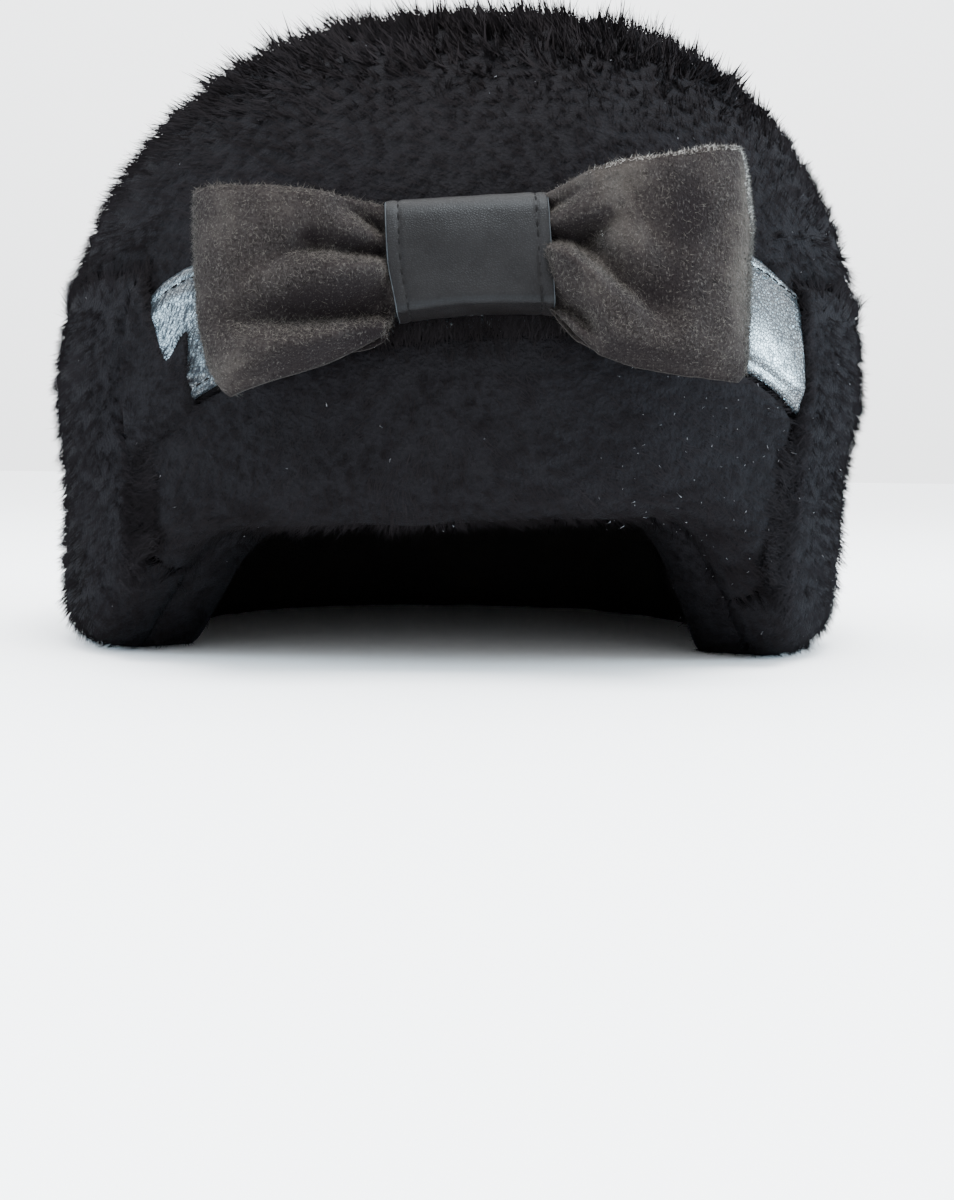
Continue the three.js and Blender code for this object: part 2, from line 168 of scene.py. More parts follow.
def dome_share(z, start, top):
    climbed = np.clip((z - start) / (top - start), 0.0, 1.0)
    return (1 - climbed**DOME_EXPONENT) ** (1 / DOME_EXPONENT)


def plan_point(azimuth, half_width, half_length, z):
    """Points of the plan at a height, in hat millimetres."""
    angle = np.radians(azimuth)
    power = 2 / PLAN_EXPONENT
    shift = RIM_SIDE_SHIFT * np.maximum(0.0, 1 - z / RIM_SHIFT_HEIGHT)
    x = half_width * signed_power(np.sin(angle), power) + shift
    y = -half_length * signed_power(np.cos(angle), power)
    return np.stack(np.broadcast_arrays(x, y, np.asarray(z, float)), axis=-1)


def flap_point(azimuth, z, depth):
    share = np.interp(z, PROFILE_HEIGHTS, PROFILE_SHARES)
    return plan_point(azimuth, HALF_WIDTH * share - depth, HALF_LENGTH * share - depth, z)


def crown_point(azimuth, z, depth):
    share = dome_share(z, DOME_START, TOTAL_HEIGHT)
    inset = (CROWN_STEP_BACK + depth) * np.minimum(1.0, share / TOP_INSET_SHARE)
    half_width = np.maximum(0.0, HALF_WIDTH * share - inset)
    half_length = np.maximum(0.0, HALF_LENGTH * share - inset)
    points = plan_point(azimuth, half_width, half_length, z)
    points[..., 2] += CROWN_LEAN * points[..., 0] * rise(np.asarray(z), FLAP_TOP, TOTAL_HEIGHT - FLAP_TOP)
    return points


def hollow_point(azimuth, z):
    widening = HOLLOW_WIDENING * smooth(z / HOLLOW_DOME_START) - RIM_THICKNESS
    share = dome_share(z, HOLLOW_DOME_START, TOTAL_HEIGHT - TOP_WALL)
    half_width = HALF_WIDTH * PROFILE_SHARES[0] + widening
    half_length = HALF_LENGTH * PROFILE_SHARES[0] + widening
    return plan_point(azimuth, half_width * share, half_length * share, z)


def sideways(azimuth):
    return plan_point(azimuth, HALF_WIDTH, HALF_LENGTH, 0.0)[..., 0]


def rim_height(azimuth):
    foot = rise(np.abs(azimuth), ARCH_FLAT_AZIMUTH, ARCH_FOOT_AZIMUTH - ARCH_FLAT_AZIMUTH)
    return (FRONT_ARCH + ARCH_LEAN * sideways(azimuth)) * (1 - foot)


def band_low(azimuth):
    end_drop = np.where(np.asarray(azimuth) < 0, BAND_DROP_LEFT, BAND_DROP_RIGHT)
    drop = end_drop * (np.abs(azimuth) / BAND_END_AZIMUTH) ** BAND_DROP_POWER
    return BAND_CENTRE_LOW - drop + BAND_LEAN * sideways(azimuth)


def band_high(azimuth):
    extra = np.where(np.asarray(azimuth) < 0, BAND_EXTRA_LEFT, BAND_EXTRA_RIGHT)
    corner = BAND_CORNER_DROP * rise(azimuth, BAND_CORNER_AZIMUTH, BAND_CORNER_SPAN)
    corner = corner - np.interp(azimuth, ARCH_PLACES, ARCH_RISES)
    return band_low(azimuth) + BAND_WIDTH + extra * (azimuth / BAND_END_AZIMUTH) ** 2 - corner


def top_seam(azimuth):
    """How far the band's top seam lies below its top edge."""
    return np.interp(azimuth, TOP_SEAM_PLACES, TOP_SEAM_DEPTHS)


def is_front(azimuth):
    return FLAP_EDGE_LEFT < azimuth < FLAP_EDGE_RIGHT


def flap_top(azimuth):
    return band_low(azimuth) - BAND_FLAP_GAP if is_front(azimuth) else FLAP_TOP


def to_half_turn(azimuth):
    return azimuth - 360 if azimuth > 180 else azimuth


def flap_azimuths(start, stop):
    """Azimuths of a flap's sections, closer together at its two round ends."""
    ends = [0, 0.3, 0.6, 1, 1.7, 2.6, 3.8, 5]
    middle = np.linspace(start + 5, stop - 5, round((stop - start - 10) / AZIMUTH_STEP) + 1)[1:-1]
    return [*[start + e for e in ends], *middle, *[stop - e for e in reversed(ends)]]


FRONT_AZIMUTHS = flap_azimuths(FLAP_EDGE_LEFT + STEP_HALF_ANGLE, FLAP_EDGE_RIGHT - STEP_HALF_ANGLE)
SIDE_BACK_AZIMUTHS = flap_azimuths(FLAP_EDGE_RIGHT + FLAP_CHANNEL, 360 + FLAP_EDGE_LEFT - FLAP_CHANNEL)


# Meshes


def to_metres(points):
    return (np.asarray(points) + HAT_MIDDLE) * METRES


def finished(name, mesh, materials, uvs):
    """The piece of a mesh, with its materials. uvs has one place for each point."""
    for material in materials:
        mesh.materials.append(material)
    corners = np.zeros(len(mesh.loops), np.int32)
    mesh.loops.foreach_get("vertex_index", corners)
    layer = mesh.uv_layers.new(name="OFBake")
    layer.data.foreach_set("uv", np.asarray(uvs, np.float32)[corners].ravel())
    mesh.shade_smooth()
    mesh.update(calc_edges=True)
    piece = bpy.data.objects.new(name, mesh)
    bpy.context.scene.collection.objects.link(piece)
    return piece


def mesh_object(name, points, faces, materials, uvs, face_materials=None):
    """A piece from points in hat millimetres."""
    mesh = bpy.data.meshes.new(name)
    mesh.from_pydata(to_metres(points), [], [list(map(int, face)) for face in faces])
    if face_materials is not None:
        mesh.polygons.foreach_set("material_index", np.asarray(face_materials, np.int32))
    return finished(name, mesh, materials, uvs)


def add_values(piece, name, values):
    """Stores a value for each point, which a material reads by its name."""
    piece.data.attributes.new(name, "FLOAT", "POINT").data.foreach_set("value", values.astype(np.float32))


def fan_triangles(faces):
    return np.array([[f[0], f[k], f[k + 1]] for f in faces for k in range(1, len(f) - 1)])


def outward(points, faces):
    """The faces, turned so that the closed body that they make has a volume above nothing."""
    a, b, c = points[fan_triangles(faces).T]
    volume = np.einsum("ij,ij->i", a, np.cross(b, c)).sum()
    return faces if volume > 0 else [list(reversed(f)) for f in faces]


def grid_faces(rows, columns, wrap_rows, wrap_columns):
    faces = []
    for i in range(rows if wrap_rows else rows - 1):
        for j in range(columns if wrap_columns else columns - 1):
            here = i * columns
            below = ((i + 1) % rows) * columns
            after = (j + 1) % columns
            faces.append([here + j, here + after, below + after, below + j])
    return faces


def closed_strip(sections):
    """Points and faces of a closed body from a row of sections. The last faces close its two ends."""
    count, size = sections.shape[:2]
    points = np.vstack([sections.reshape(-1, 3), sections[0].mean(0), sections[-1].mean(0)])
    faces = grid_faces(count, size, False, True)
    for j in range(size):
        faces.append([count * size, (j + 1) % size, j])
    last = (count - 1) * size
    for j in range(size):
        faces.append([count * size + 1, last + j, last + (j + 1) % size])
    return points, faces


def grid_uvs(rows, columns, extra=0):
    v, u = np.meshgrid(np.linspace(0.01, 0.99, rows), np.linspace(0.01, 0.99, columns), indexing="ij")
    uvs = np.stack([u.ravel(), v.ravel()], axis=-1)
    return np.vstack([uvs, np.full((extra, 2), 0.995)])


def lumps(points, size, seed):
    """Smooth noise from -1 to 1 at each point."""
    offset = Vector((seed * 17.3, seed * 5.1, seed * 9.7))
    return np.array([noise.noise(Vector(p) / size + offset) for p in points])


def point_normals(points, faces):
    normals = np.zeros_like(points)
    quads = np.array([f if len(f) == 4 else [*f, f[0]] for f in faces])
    a, b, c, d = points[quads.T]
    face_normals = np.cross(c - a, d - b)
    for k in range(4):
        np.add.at(normals, quads[:, k], face_normals)
    return unit(normals)


# Materials


class Nodes:
    """Adds nodes to a material or a world. Most methods give back the socket that holds their result."""

    def __init__(self, owner):
        owner.use_nodes = True
        self.owner = owner
        self.tree = owner.node_tree

    def fill(self, node, inputs):
        """Links a node's inputs to sockets, or sets them to numbers and colours."""
        for name, value in inputs.items():
            if isinstance(value, bpy.types.NodeSocket):
                self.tree.links.new(value, node.inputs[name])
            else:
                node.inputs[name].default_value = value

    def add(self, kind, output, inputs, **settings):
        node = self.tree.nodes.new("ShaderNode" + kind)
        for name, value in settings.items():
            setattr(node, name, value)
        self.fill(node, inputs)
        return node.outputs[output]

    def shade(self, **values):
        """Fills the sockets of the material's shader, and gives back the material."""
        inputs = {name.replace("_", " "): value for name, value in values.items()}
        self.fill(self.tree.nodes["Principled BSDF"], inputs)
        return self.owner

    def place(self):
        return self.add("TexCoord", "Object", {})

    def noise(self, scale, detail=2.0, roughness=0.5, stretch=(1, 1, 1), slant=0.0):
        """A noise on the piece's own coordinates. Scale is in features for each metre."""
        place = self.place()
        if slant:
            turn = (0, math.radians(slant), 0)
            place = self.add("Mapping", "Vector", {"Vector": place, "Rotation": turn})
        place = self.add("Mapping", "Vector", {"Vector": place, "Scale": stretch})
        sizes = {"Scale": scale, "Detail": detail, "Roughness": roughness}
        return self.add("TexNoise", "Fac", {"Vector": place, **sizes})

    def cell_edges(self, scale):
        inputs = {"Vector": self.place(), "Scale": scale}
        return self.add("TexVoronoi", "Distance", inputs, feature="DISTANCE_TO_EDGE")

    def stored(self, name):
        """The value that the piece stores under a name."""
        return self.add("Attribute", "Fac", {}, attribute_name=name)

    def ramp(self, value, *stops):
        """Colours along a value. Each stop is a place and a colour."""
        socket = self.add("ValToRGB", "Color", {"Fac": value})
        elements = socket.node.color_ramp.elements
        while len(elements) < len(stops):
            elements.new(0.5)
        for element, (place, colour) in zip(elements, stops):
            element.position = place
            element.color = (*colour, 1)
        return socket

    def mix(self, factor, first, second):
        inputs = {"Factor": factor, "A": first, "B": second}
        return self.add("Mix", "Result", inputs, data_type="RGBA")

    def maths(self, operation, *values):
        return self.add("Math", 0, dict(enumerate(values)), operation=operation)

    def heights(self, *parts):
        """The weighted sum of heights. Each part is a socket and its weight."""
        total = 0.0
        for socket, weight in parts:
            total = self.maths("MULTIPLY_ADD", socket, weight, total)
        return total

    def bump(self, height, distance):
        return self.add("Bump", "Normal", {"Height": height, "Distance": distance})

    def span(self, value, low, high, at_low, at_high):
        """From at_low where a value is low or less, to at_high where it is high or more."""
        ends = {"From Min": low, "From Max": high, "To Min": at_low, "To Max": at_high}
        return self.add("MapRange", "Result", {"Value": value, **ends})


def new_look(name):
    return Nodes(bpy.data.materials.new(name))


def grey(value):
    return (value, value, value)


def plain_material(name, scale, low, high, roughness, specular=0.1, detail=2.0, grain=None):
    """Two colours in soft patches. low and high are stops, grain is the scale and depth of a bump."""
    look = new_look(name)
    colour = look.ramp(look.noise(scale, detail), low, high)
    if grain:
        look.shade(Normal=look.bump(look.noise(grain[0], 3.0), grain[1]))
    return look.shade(Base_Color=colour, Roughness=roughness, Specular_IOR_Level=specular)


def suede_material():
    """Brown-grey suede: a mottled nap with pale flecks. The piece stores its tone, with painted shade on its
    undersides.
    """
    look = new_look("suede")
    mottle = look.noise(95.0, 6.0, 0.72)
    nap = look.noise(1500.0, 3.0, 0.7)
    flecks = look.noise(2600.0, 2.0, 0.5, (1.0, 1.0, 0.5))
    tone_and_painted_shade = look.stored("tone_and_painted_shade")
    base = look.ramp(
        look.heights((mottle, 0.55), (tone_and_painted_shade, 0.45)),
        (0.36, (0.0065, 0.0054, 0.0058)),
        (0.5, (0.0132, 0.0110, 0.0109)),
        (0.64, (0.041, 0.0362, 0.0328)),
        (0.78, (0.075, 0.067, 0.060)),
    )
    fibres = look.ramp(nap, (0.3, (0.0028, 0.0025, 0.0027)), (0.75, (0.036, 0.0330, 0.0310)))
    # Where the stored tone is lowest, the lighter fibres fade out, which deepens the painted shade on the
    # undersides
    fibres_kept = look.span(tone_and_painted_shade, 0.3, 0.0, 1.0, 0.0)
    fibre_share = look.maths("MULTIPLY", fibres_kept, look.ramp(nap, (0.35, grey(0.25)), (0.65, grey(0.5))))
    napped = look.mix(fibre_share, base, fibres)
    fleck_share = look.ramp(flecks, (0.6, grey(0)), (0.72, grey(0.22)))
    return look.shade(
        Base_Color=look.mix(fleck_share, napped, (0.12, 0.112, 0.104, 1)),
        Normal=look.bump(look.heights((nap, 0.7), (flecks, 0.5), (mottle, 0.8)), 0.0005),
        Roughness=1.0,
        Specular_IOR_Level=0.0,
        Sheen_Weight=0.04,
        Sheen_Roughness=0.45,
        Sheen_Tint=(0.62, 0.58, 0.54, 1),
    )


WRINKLE_SLANT = -28.0
WRINKLE_SCALE = 1600.0
WRINKLE_STRETCH = (1.0, 1.0, 0.26)


def leather_material(name, dark, light, roughness, shine, tint, coat, cell_scale, cell_depth, grain_depth):
    """Leather with a fine pebble grain, and slanting wrinkles where the piece says that it is wrinkled."""
    look = new_look(name)
    cells = look.cell_edges(cell_scale)
    wrinkles = look.noise(WRINKLE_SCALE, stretch=WRINKLE_STRETCH, slant=WRINKLE_SLANT)
    creases = look.maths("MULTIPLY", look.span(wrinkles, 0.42, 0.57, 0.95, 0.0), look.stored("wrinkled"))
    deepest = look.maths("MAXIMUM", creases, look.span(cells, 0.0, 0.26, cell_depth, 0.0))
    look.shade(Specular_IOR_Level=look.span(deepest, 0.0, 1.0, shine, 0.0))
    if coat:
        look.shade(Coat_Weight=look.span(deepest, 0.0, 1.0, coat, 0.0))
    return look.shade(
        Base_Color=look.ramp(look.noise(90.0, 4.0, 0.6), (0.3, dark), (0.75, light)),
        Normal=look.bump(look.heights((cells, 1.0), (deepest, -1.0)), grain_depth),
        Roughness=roughness,
        Specular_Tint=(*tint, 1),
        Coat_Roughness=0.22,
        Coat_IOR=1.6,
    )


FUR = plain_material(
    "fur", 60.0, (0.35, (0.0068, 0.0060, 0.0064)), (0.7, (0.0112, 0.0101, 0.0110)), 0.9, 0.0, 3.0
)
PELT = plain_material(
    "pelt",
    900.0,
    (0.3, (0.0055, 0.0053, 0.0060)),
    (0.8, (0.0078, 0.0075, 0.0086)),
    roughness=0.95,
    specular=0.02,
    detail=3.0,
    grain=(900.0, 0.001),
)
LINING = plain_material(
    "lining",
    45.0,
    (0.3, (0.006, 0.0055, 0.0055)),
    (0.75, (0.011, 0.010, 0.0095)),
    roughness=0.85,
    detail=3.0,
    grain=(1400.0, 0.0004),
)
SUEDE = suede_material()
# Its bluish specular tint is a painted reflection colour, for the bluish light that the band reflects
GLOSS_LEATHER = leather_material(
    "gloss_leather",
    (0.008, 0.009, 0.011),
    (0.012, 0.014, 0.018),
    roughness=0.34,
    shine=1.0,
    tint=(0.56, 0.85, 1.0),
    coat=1.0,
    cell_scale=1200.0,
    cell_depth=0.95,
    grain_depth=0.00035,
)
# Its bluish specular tint is a painted reflection colour, for the bluish sheen on the knot
MATTE_LEATHER = leather_material(
    "matte_leather",
    (0.0044, 0.0037, 0.0037),
    (0.0076, 0.0070, 0.0072),
    roughness=0.44,
    shine=0.11,
    tint=(0.8, 0.92, 1.0),
    coat=0.0,
    cell_scale=1800.0,
    cell_depth=0.34,
    grain_depth=0.00005,
)
# Painted highlight: a lighter, bluish colour for the knot's side edges, standing in for the thin light lines
# where they catch the light
PAINTED_EDGE_HIGHLIGHT = plain_material(
    "painted_edge_highlight", 800.0, (0.3, (0.030, 0.036, 0.041)), (0.7, (0.055, 0.064, 0.071)), 0.45
)
KNOT_THREAD = plain_material(
    "knot_thread", 3000.0, (0.3, (0.0024, 0.0023, 0.0024)), (0.7, (0.0042, 0.0041, 0.0044)), 0.9
)
THREAD = plain_material(
    "thread", 3000.0, (0.3, (0.0014, 0.0014, 0.0016)), (0.7, (0.0026, 0.0026, 0.003)), 0.9
)
NAP = plain_material("nap", 1500.0, (0.3, (0.004, 0.0035, 0.0035)), (0.7, (0.075, 0.068, 0.061)), 1.0)
# The fringe's pale colour is painted backlight: nap fibres shown glowing as if lit through from behind
PAINTED_BACKLIGHT_FRINGE = plain_material("painted_backlight_fringe", 1500.0, (0.3, (0.14, 0.135, 0.13)), (0.7, (0.40, 0.39, 0.37)), 1.0)
LINT = plain_material("lint", 2000.0, (0.3, (0.05, 0.05, 0.055)), (0.7, (0.20, 0.20, 0.21)), 0.9)


# Pelts: dark skins a little inside the outer form, which carry the strands


class Pelt:
    """A skin with fur on part of it: its points, their normals, and the triangles that carry strands."""

    def __init__(self, name, points, faces, furry, lined, uvs, replaces=True):
        faces = outward(points, faces)
        self.name = name
        self.triangles = fan_triangles([face for face, has_fur in zip(faces, furry) if has_fur])
        hairy = np.zeros(len(points), bool)
        hairy[self.triangles] = True
        move = lumps(points, PELT_LUMP_SIZE, 3) * PELT_LUMP * hairy
        self.points = points + point_normals(points, faces) * move[:, None]
        self.points[:, 2] = np.maximum(self.points[:, 2], 0.0)
        self.normals = point_normals(self.points, faces)
        piece = mesh_object(name + "_pelt", self.points, faces, [PELT, LINING], uvs, lined)
        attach(piece, "root")
        if replaces:
            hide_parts(name)

    def areas(self):
        a, b, c = self.points[self.triangles.T]
        return np.linalg.norm(np.cross(b - a, c - a), axis=1) / 2

    def sample(self, count, rng):
        """Evenly spread points on the furry part, with their normals."""
        total = np.cumsum(self.areas())
        picks = np.searchsorted(total, (np.arange(count) + rng.random(count)) / count * total[-1])
        picks = np.minimum(picks, len(self.triangles) - 1)
        u, v = rng.random((2, count))
        fold = u + v > 1
        u[fold], v[fold] = 1 - u[fold], 1 - v[fold]
        weights = np.stack([1 - u - v, u, v], axis=-1)[..., None]
        corners = self.triangles[picks]
        return (self.points[corners] * weights).sum(1), unit((self.normals[corners] * weights).sum(1))


def dome_climb(rows):
    return np.sin(np.linspace(0, 1, rows, endpoint=False) * math.pi / 2) ** DOME_CLIMB_POWER


def crown_column(azimuth):
    """One column of the crown: down over the dome, in over the ledge, down the wall and up inside."""
    front = is_front(azimuth)
    wall = FLAP_THICKNESS + PIECE_GAP
    shelf = flap_top(azimuth) + PIECE_GAP
    bulge = band_high(azimuth) + PIECE_GAP if front else shelf
    bed = BAND_DEPTH + BAND_THICKNESS + PIECE_GAP if front else SIDE_SHELF_DEPTH
    low = rim_height(azimuth)
    dome = lerp(bulge + 2 * LEDGE_RISE, TOTAL_HEIGHT - PELT_DEPTH, dome_climb(DOME_ROWS)[::-1])
    hollow = lerp(HOLLOW_DOME_START, TOTAL_HEIGHT - TOP_WALL, dome_climb(HOLLOW_ROWS))
    return np.vstack(
        [
            crown_point(azimuth, dome, PELT_DEPTH),
            [crown_point(azimuth, bulge + LEDGE_RISE, PELT_DEPTH)],
            [flap_point(azimuth, bulge, max(bed, PELT_DEPTH + LEDGE_TUCK))],
            [flap_point(azimuth, shelf, bed if front else lerp(bed, wall, 0.5))],
            [flap_point(azimuth, shelf, wall)],
            flap_point(azimuth, lerp(low, flap_top(azimuth), np.linspace(1, 0, WALL_ROWS)), wall),
            hollow_point(azimuth, lerp(low, HOLLOW_DOME_START, np.linspace(0, HOLLOW_WALL_END, RIM_ROWS))),
            hollow_point(azimuth, hollow),
        ]
    )


def crown_pelt():
    azimuths = [
        *FRONT_AZIMUTHS,
        FLAP_EDGE_RIGHT + STEP_HALF_ANGLE,
        *[to_half_turn(a) for a in SIDE_BACK_AZIMUTHS],
        FLAP_EDGE_LEFT - STEP_HALF_ANGLE,
    ]
    columns = np.array([crown_column(a) for a in azimuths])
    count, rows = columns.shape[:2]
    poles = [[0, 0, TOTAL_HEIGHT - PELT_DEPTH], [0, 0, TOTAL_HEIGHT - TOP_WALL]]
    points = np.vstack([columns.transpose(1, 0, 2).reshape(-1, 3), poles])
    faces = grid_faces(rows, count, False, True)
    row_of_face = np.repeat(np.arange(rows - 1), count)
    rim_row = DOME_ROWS + LEDGE_ROWS + WALL_ROWS
    furry = list((row_of_face < DOME_ROWS + 1) | (row_of_face == rim_row))
    lined = list(row_of_face > rim_row)
    top, hollow_top = rows * count, rows * count + 1
    last = (rows - 1) * count
    for j in range(count):
        k = (j + 1) % count
        faces += [[top, k, j], [hollow_top, last + j, last + k]]
        furry += [True, False]
        lined += [False, True]
    return Pelt("crown", points, faces, furry, lined, grid_uvs(rows, count, 2))


def flap_section(azimuth, thinning):
    """One section of a flap, round its outer face from bottom to top and down its inner wall."""
    low, top = rim_height(azimuth), flap_top(azimuth)
    inner = FLAP_THICKNESS - END_INNER_GAP * thinning / END_THINNING[0]
    bottom = min(FLAP_BOTTOM_ROUND, (top - low) * FLAP_BOTTOM_ROUND_SHARE)
    turn = np.linspace(0, math.pi / 2, TURN_ROWS)
    heights = [
        *(low + bottom * (1 - np.cos(turn))),
        *np.linspace(low + bottom, top - FLAP_TOP_ROUND, FACE_ROWS + 2)[1:-1],
        *(top - FLAP_TOP_ROUND * (1 - np.sin(turn))),
    ]
    depths = [*(bottom * (1 - np.sin(turn))), *[0] * FACE_ROWS, *(FLAP_TOP_ROUND * (1 - np.cos(turn)))]
    depths = np.minimum(inner - FLAP_LEAST_WALL, np.array(depths) + thinning + PELT_DEPTH)
    outer = flap_point(azimuth, np.array(heights), depths)
    wall = flap_point(azimuth, lerp(low, top, np.linspace(1, 0, WALL_ROWS)), inner)
    return np.vstack([outer, wall])


def flap_pelt(name, azimuths):
    start, stop = azimuths[0], azimuths[-1]
    from_end = [min(azimuth - start, stop - azimuth) for azimuth in azimuths]
    thinning = np.interp(from_end, END_DISTANCES, END_THINNING)
    sections = np.array([flap_section(to_half_turn(a), thin) for a, thin in zip(azimuths, thinning)])
    count, size = sections.shape[:2]
    points, faces = closed_strip(sections)
    place = np.tile(np.arange(size), count - 1)
    furry = [*((place < size - WALL_ROWS) | (place == size - 1)), *[True] * (2 * size)]
    return Pelt(name, points, faces, furry, np.zeros(len(faces)), grid_uvs(count, size, 2))


# The side flap's left edge folds over the band's low end. Top height of that lobe, by azimuth
LOBE_AZIMUTHS = [-41.4, -39.4, -38.4, -37.6, -36.0, -34.8, -33.8, -33.0]
LOBE_AZIMUTHS += [-32.2, -31.4, -30.8, -30.4, -30.0, -29.6, -29.3]
LOBE_TOPS = [95.0, 93.0, 90.5, 86.0, 81.0, 77.5, 75.0, 76.0, 78.5, 80.5, 81.3, 79.5, 75.0, 69.0, 63.0]
LOBE_SECTIONS = 40
LOBE_ROWS = 16
LOBE_START = 4.0
LOBE_BACK_DEPTH = 2.5
LOBE_LIFT = 0.3
LOBE_RISE = 1.5
LOBE_EDGE = 2.6
LOBE_SINK = 1.6
LOBE_SINK_HEIGHT = 5.0


def end_lobe_pelt():
    sections = []
    for azimuth in np.linspace(LOBE_AZIMUTHS[0], LOBE_AZIMUTHS[-1], LOBE_SECTIONS):
        top = np.interp(azimuth, LOBE_AZIMUTHS, LOBE_TOPS)
        heights = np.linspace(band_low(azimuth) - LOBE_START, top, LOBE_ROWS)
        from_right = (LOBE_AZIMUTHS[-1] - azimuth) * math.radians(HALF_WIDTH)
        from_edge = np.minimum(top - heights, from_right)
        sunk = LOBE_SINK * (1 - rise(heights, heights[0], LOBE_SINK_HEIGHT))
        depths = LOBE_BACK_DEPTH - LOBE_LIFT - LOBE_RISE * np.sqrt(smooth(from_edge / LOBE_EDGE)) + sunk
        front = flap_point(azimuth, heights, depths)
        back = flap_point(azimuth, heights[::-1], LOBE_BACK_DEPTH + sunk[::-1])
        sections.append(np.vstack([front, back]))
    sections = np.array(sections)
    count, size = sections.shape[:2]
    points, faces = closed_strip(sections)
    furry = [*np.tile(np.arange(size) < LOBE_ROWS, count - 1), *[False] * size, *[True] * size]
    uvs = grid_uvs(count, size, 2)
    return Pelt("end_lobe", points, faces, furry, np.zeros(len(faces)), uvs, replaces=False)


# Strands: closed slim spikes in clumps, combed along the pelt


def beside_band(points):
    """1 on the side flap's two upright edges beside the band, and 0 away from them."""
    x, y, z = points.T
    return bell(np.abs(x), 84, 7) * (y < 0) * (z > 45)


def under_knot(points):
    """1 at the front flap's top edge in the middle, under the knot, where the fur is made longer and combed
    up over the band's low edge, which lies in shade there.
    """
    x, _, z = points.T
    return np.exp(-((x / 24) ** 4)) * rise(z, 70, 5)


def near_ledge(name, points):
    """1 at the ledge between the crown and the side flap's top edge."""
    x, y, z = points.T
    aside = np.minimum(rise(np.abs(x), 73, 5) + (y > 0), 1)
    return aside * (rise(z, 113, -10) if name == "crown" else rise(z, 87, 6))


def comb_direction(name, points, normals, swirl):
    """The way the fur lies at each point, along the pelt."""
    x, y, z = points.T
    if name == "crown":
        way = [x / 110 * 0.5 - 0.22, y / 130 * 0.6, 0.3 - 1.6 * near_ledge(name, points)]
    elif name == "end_lobe":
        way = [1.0, -0.5, 0.35]
    elif name == "front_flap":
        way = [x / 60 + 0.15, 0.0, 2.4 * under_knot(points) - 0.8]
    else:
        ahead = beside_band(points)
        up = -0.7 + 0.5 * ahead + 1.8 * near_ledge(name, points)
        way = [x / 110 * 0.4 + ahead * np.where(x < 0, 1.6, -0.9), y / 260, up]
    way = np.stack([np.broadcast_to(part, x.shape) for part in way], axis=-1)
    way = unit(way - normals * np.einsum("ij,ij->i", way, normals)[:, None])
    side = np.cross(normals, way)
    return way * np.cos(swirl)[:, None] + side * np.sin(swirl)[:, None]


def strand_length(name, points):
    """How long the fur is: longest on top of the crown, short beside the band."""
    x, _, z = points.T
    if name == "crown":
        left = rise(x, -10, -40) * rise(z, 105, 30)
        return 3.7 + 3.4 * rise(z, 135, 35) + 1.5 * left + 2.2 * near_ledge(name, points)
    if name == "end_lobe":
        return np.full_like(z, 3.6)
    if name == "front_flap":
        return 3.9 + 1.8 * rise(z, 60, -30) + 1.6 * under_knot(points)
    return 3.7 + beside_band(points) * np.where(x < 0, 2.8, 1.2) + 2.2 * near_ledge(name, points)


def strand_lift(name, points):
    """How far the fur stands up from the pelt, from 0 to 1."""
    z = points[:, 2]
    if name == "crown":
        return 0.74 + 0.1 * rise(z, 135, 35) - 0.2 * near_ledge(name, points)
    if name == "end_lobe":
        return np.full_like(z, 0.32)
    if name == "front_flap":
        return 0.5 + 0.2 * rise(z, 40, 25) - 0.2 * under_knot(points)
    return 0.72 - 0.3 * beside_band(points) - 0.2 * near_ledge(name, points)


def spikes(roots, tips, radius, rng):
    """Points and triangles of closed spikes from roots to tips."""
    count = len(roots)
    ways = unit(tips - roots)
    some = unit(rng.normal(size=(count, 3)))
    first = unit(np.cross(ways, some))
    second = np.cross(ways, first)
    turns = np.radians([0, 120, 240])
    ring = first[:, None] * np.cos(turns)[:, None] + second[:, None] * np.sin(turns)[:, None]
    points = np.concatenate([roots[:, None] + ring * radius[:, None, None], tips[:, None]], axis=1)
    pattern = np.array([[0, 2, 1], [0, 1, 3], [1, 2, 3], [2, 0, 3]])
    triangles = pattern[None] + (np.arange(count) * 4)[:, None, None]
    return points.reshape(-1, 3), triangles.reshape(-1, 3)


def strand_object(name, material, roots, tips, radius, rng, skin_normals=None):
    """A piece of spikes. Skin normals shade them mostly as what they stand on, so that they look dense."""
    points, triangles = spikes(roots, tips, radius, rng)
    mesh = bpy.data.meshes.new(name)
    mesh.vertices.add(len(points))
    mesh.vertices.foreach_set("co", to_metres(points).astype(np.float32).ravel())
    mesh.loops.add(len(triangles) * 3)
    mesh.loops.foreach_set("vertex_index", triangles.astype(np.int32).ravel())
    mesh.polygons.add(len(triangles))
    mesh.polygons.foreach_set("loop_start", np.arange(0, len(triangles) * 3, 3, dtype=np.int32))
    cells = math.ceil(math.sqrt(len(roots)))
    spot = np.arange(len(points)) // 4
    corner = np.array([[0.2, 0.2], [0.8, 0.2], [0.5, 0.5], [0.5, 0.8]])[np.arange(len(points)) % 4]
    uvs = (np.stack([spot % cells, spot // cells], axis=-1) + corner) / cells
    piece = finished(name, mesh, [material], uvs)
    if skin_normals is not None:
        own = unit(points.reshape(-1, 4, 3) - roots[:, None])
        mixed = unit(skin_normals[:, None] * SKIN_SHARE + own * (1 - SKIN_SHARE))
        mesh.normals_split_custom_set_from_vertices(mixed.reshape(-1, 3))
    return piece


def towards_tufts(pelt, centres, rng):
    """The way from each clump to the middle of its tuft."""
    heads = pelt.sample(max(1, len(centres) // CLUMPS_PER_TUFT), rng)[0]
    tree = kdtree.KDTree(len(heads))
    for index, head in enumerate(heads):
        tree.insert(head, index)
    tree.balance()
    return np.array([tree.find(centre)[0] for centre in centres]) - centres


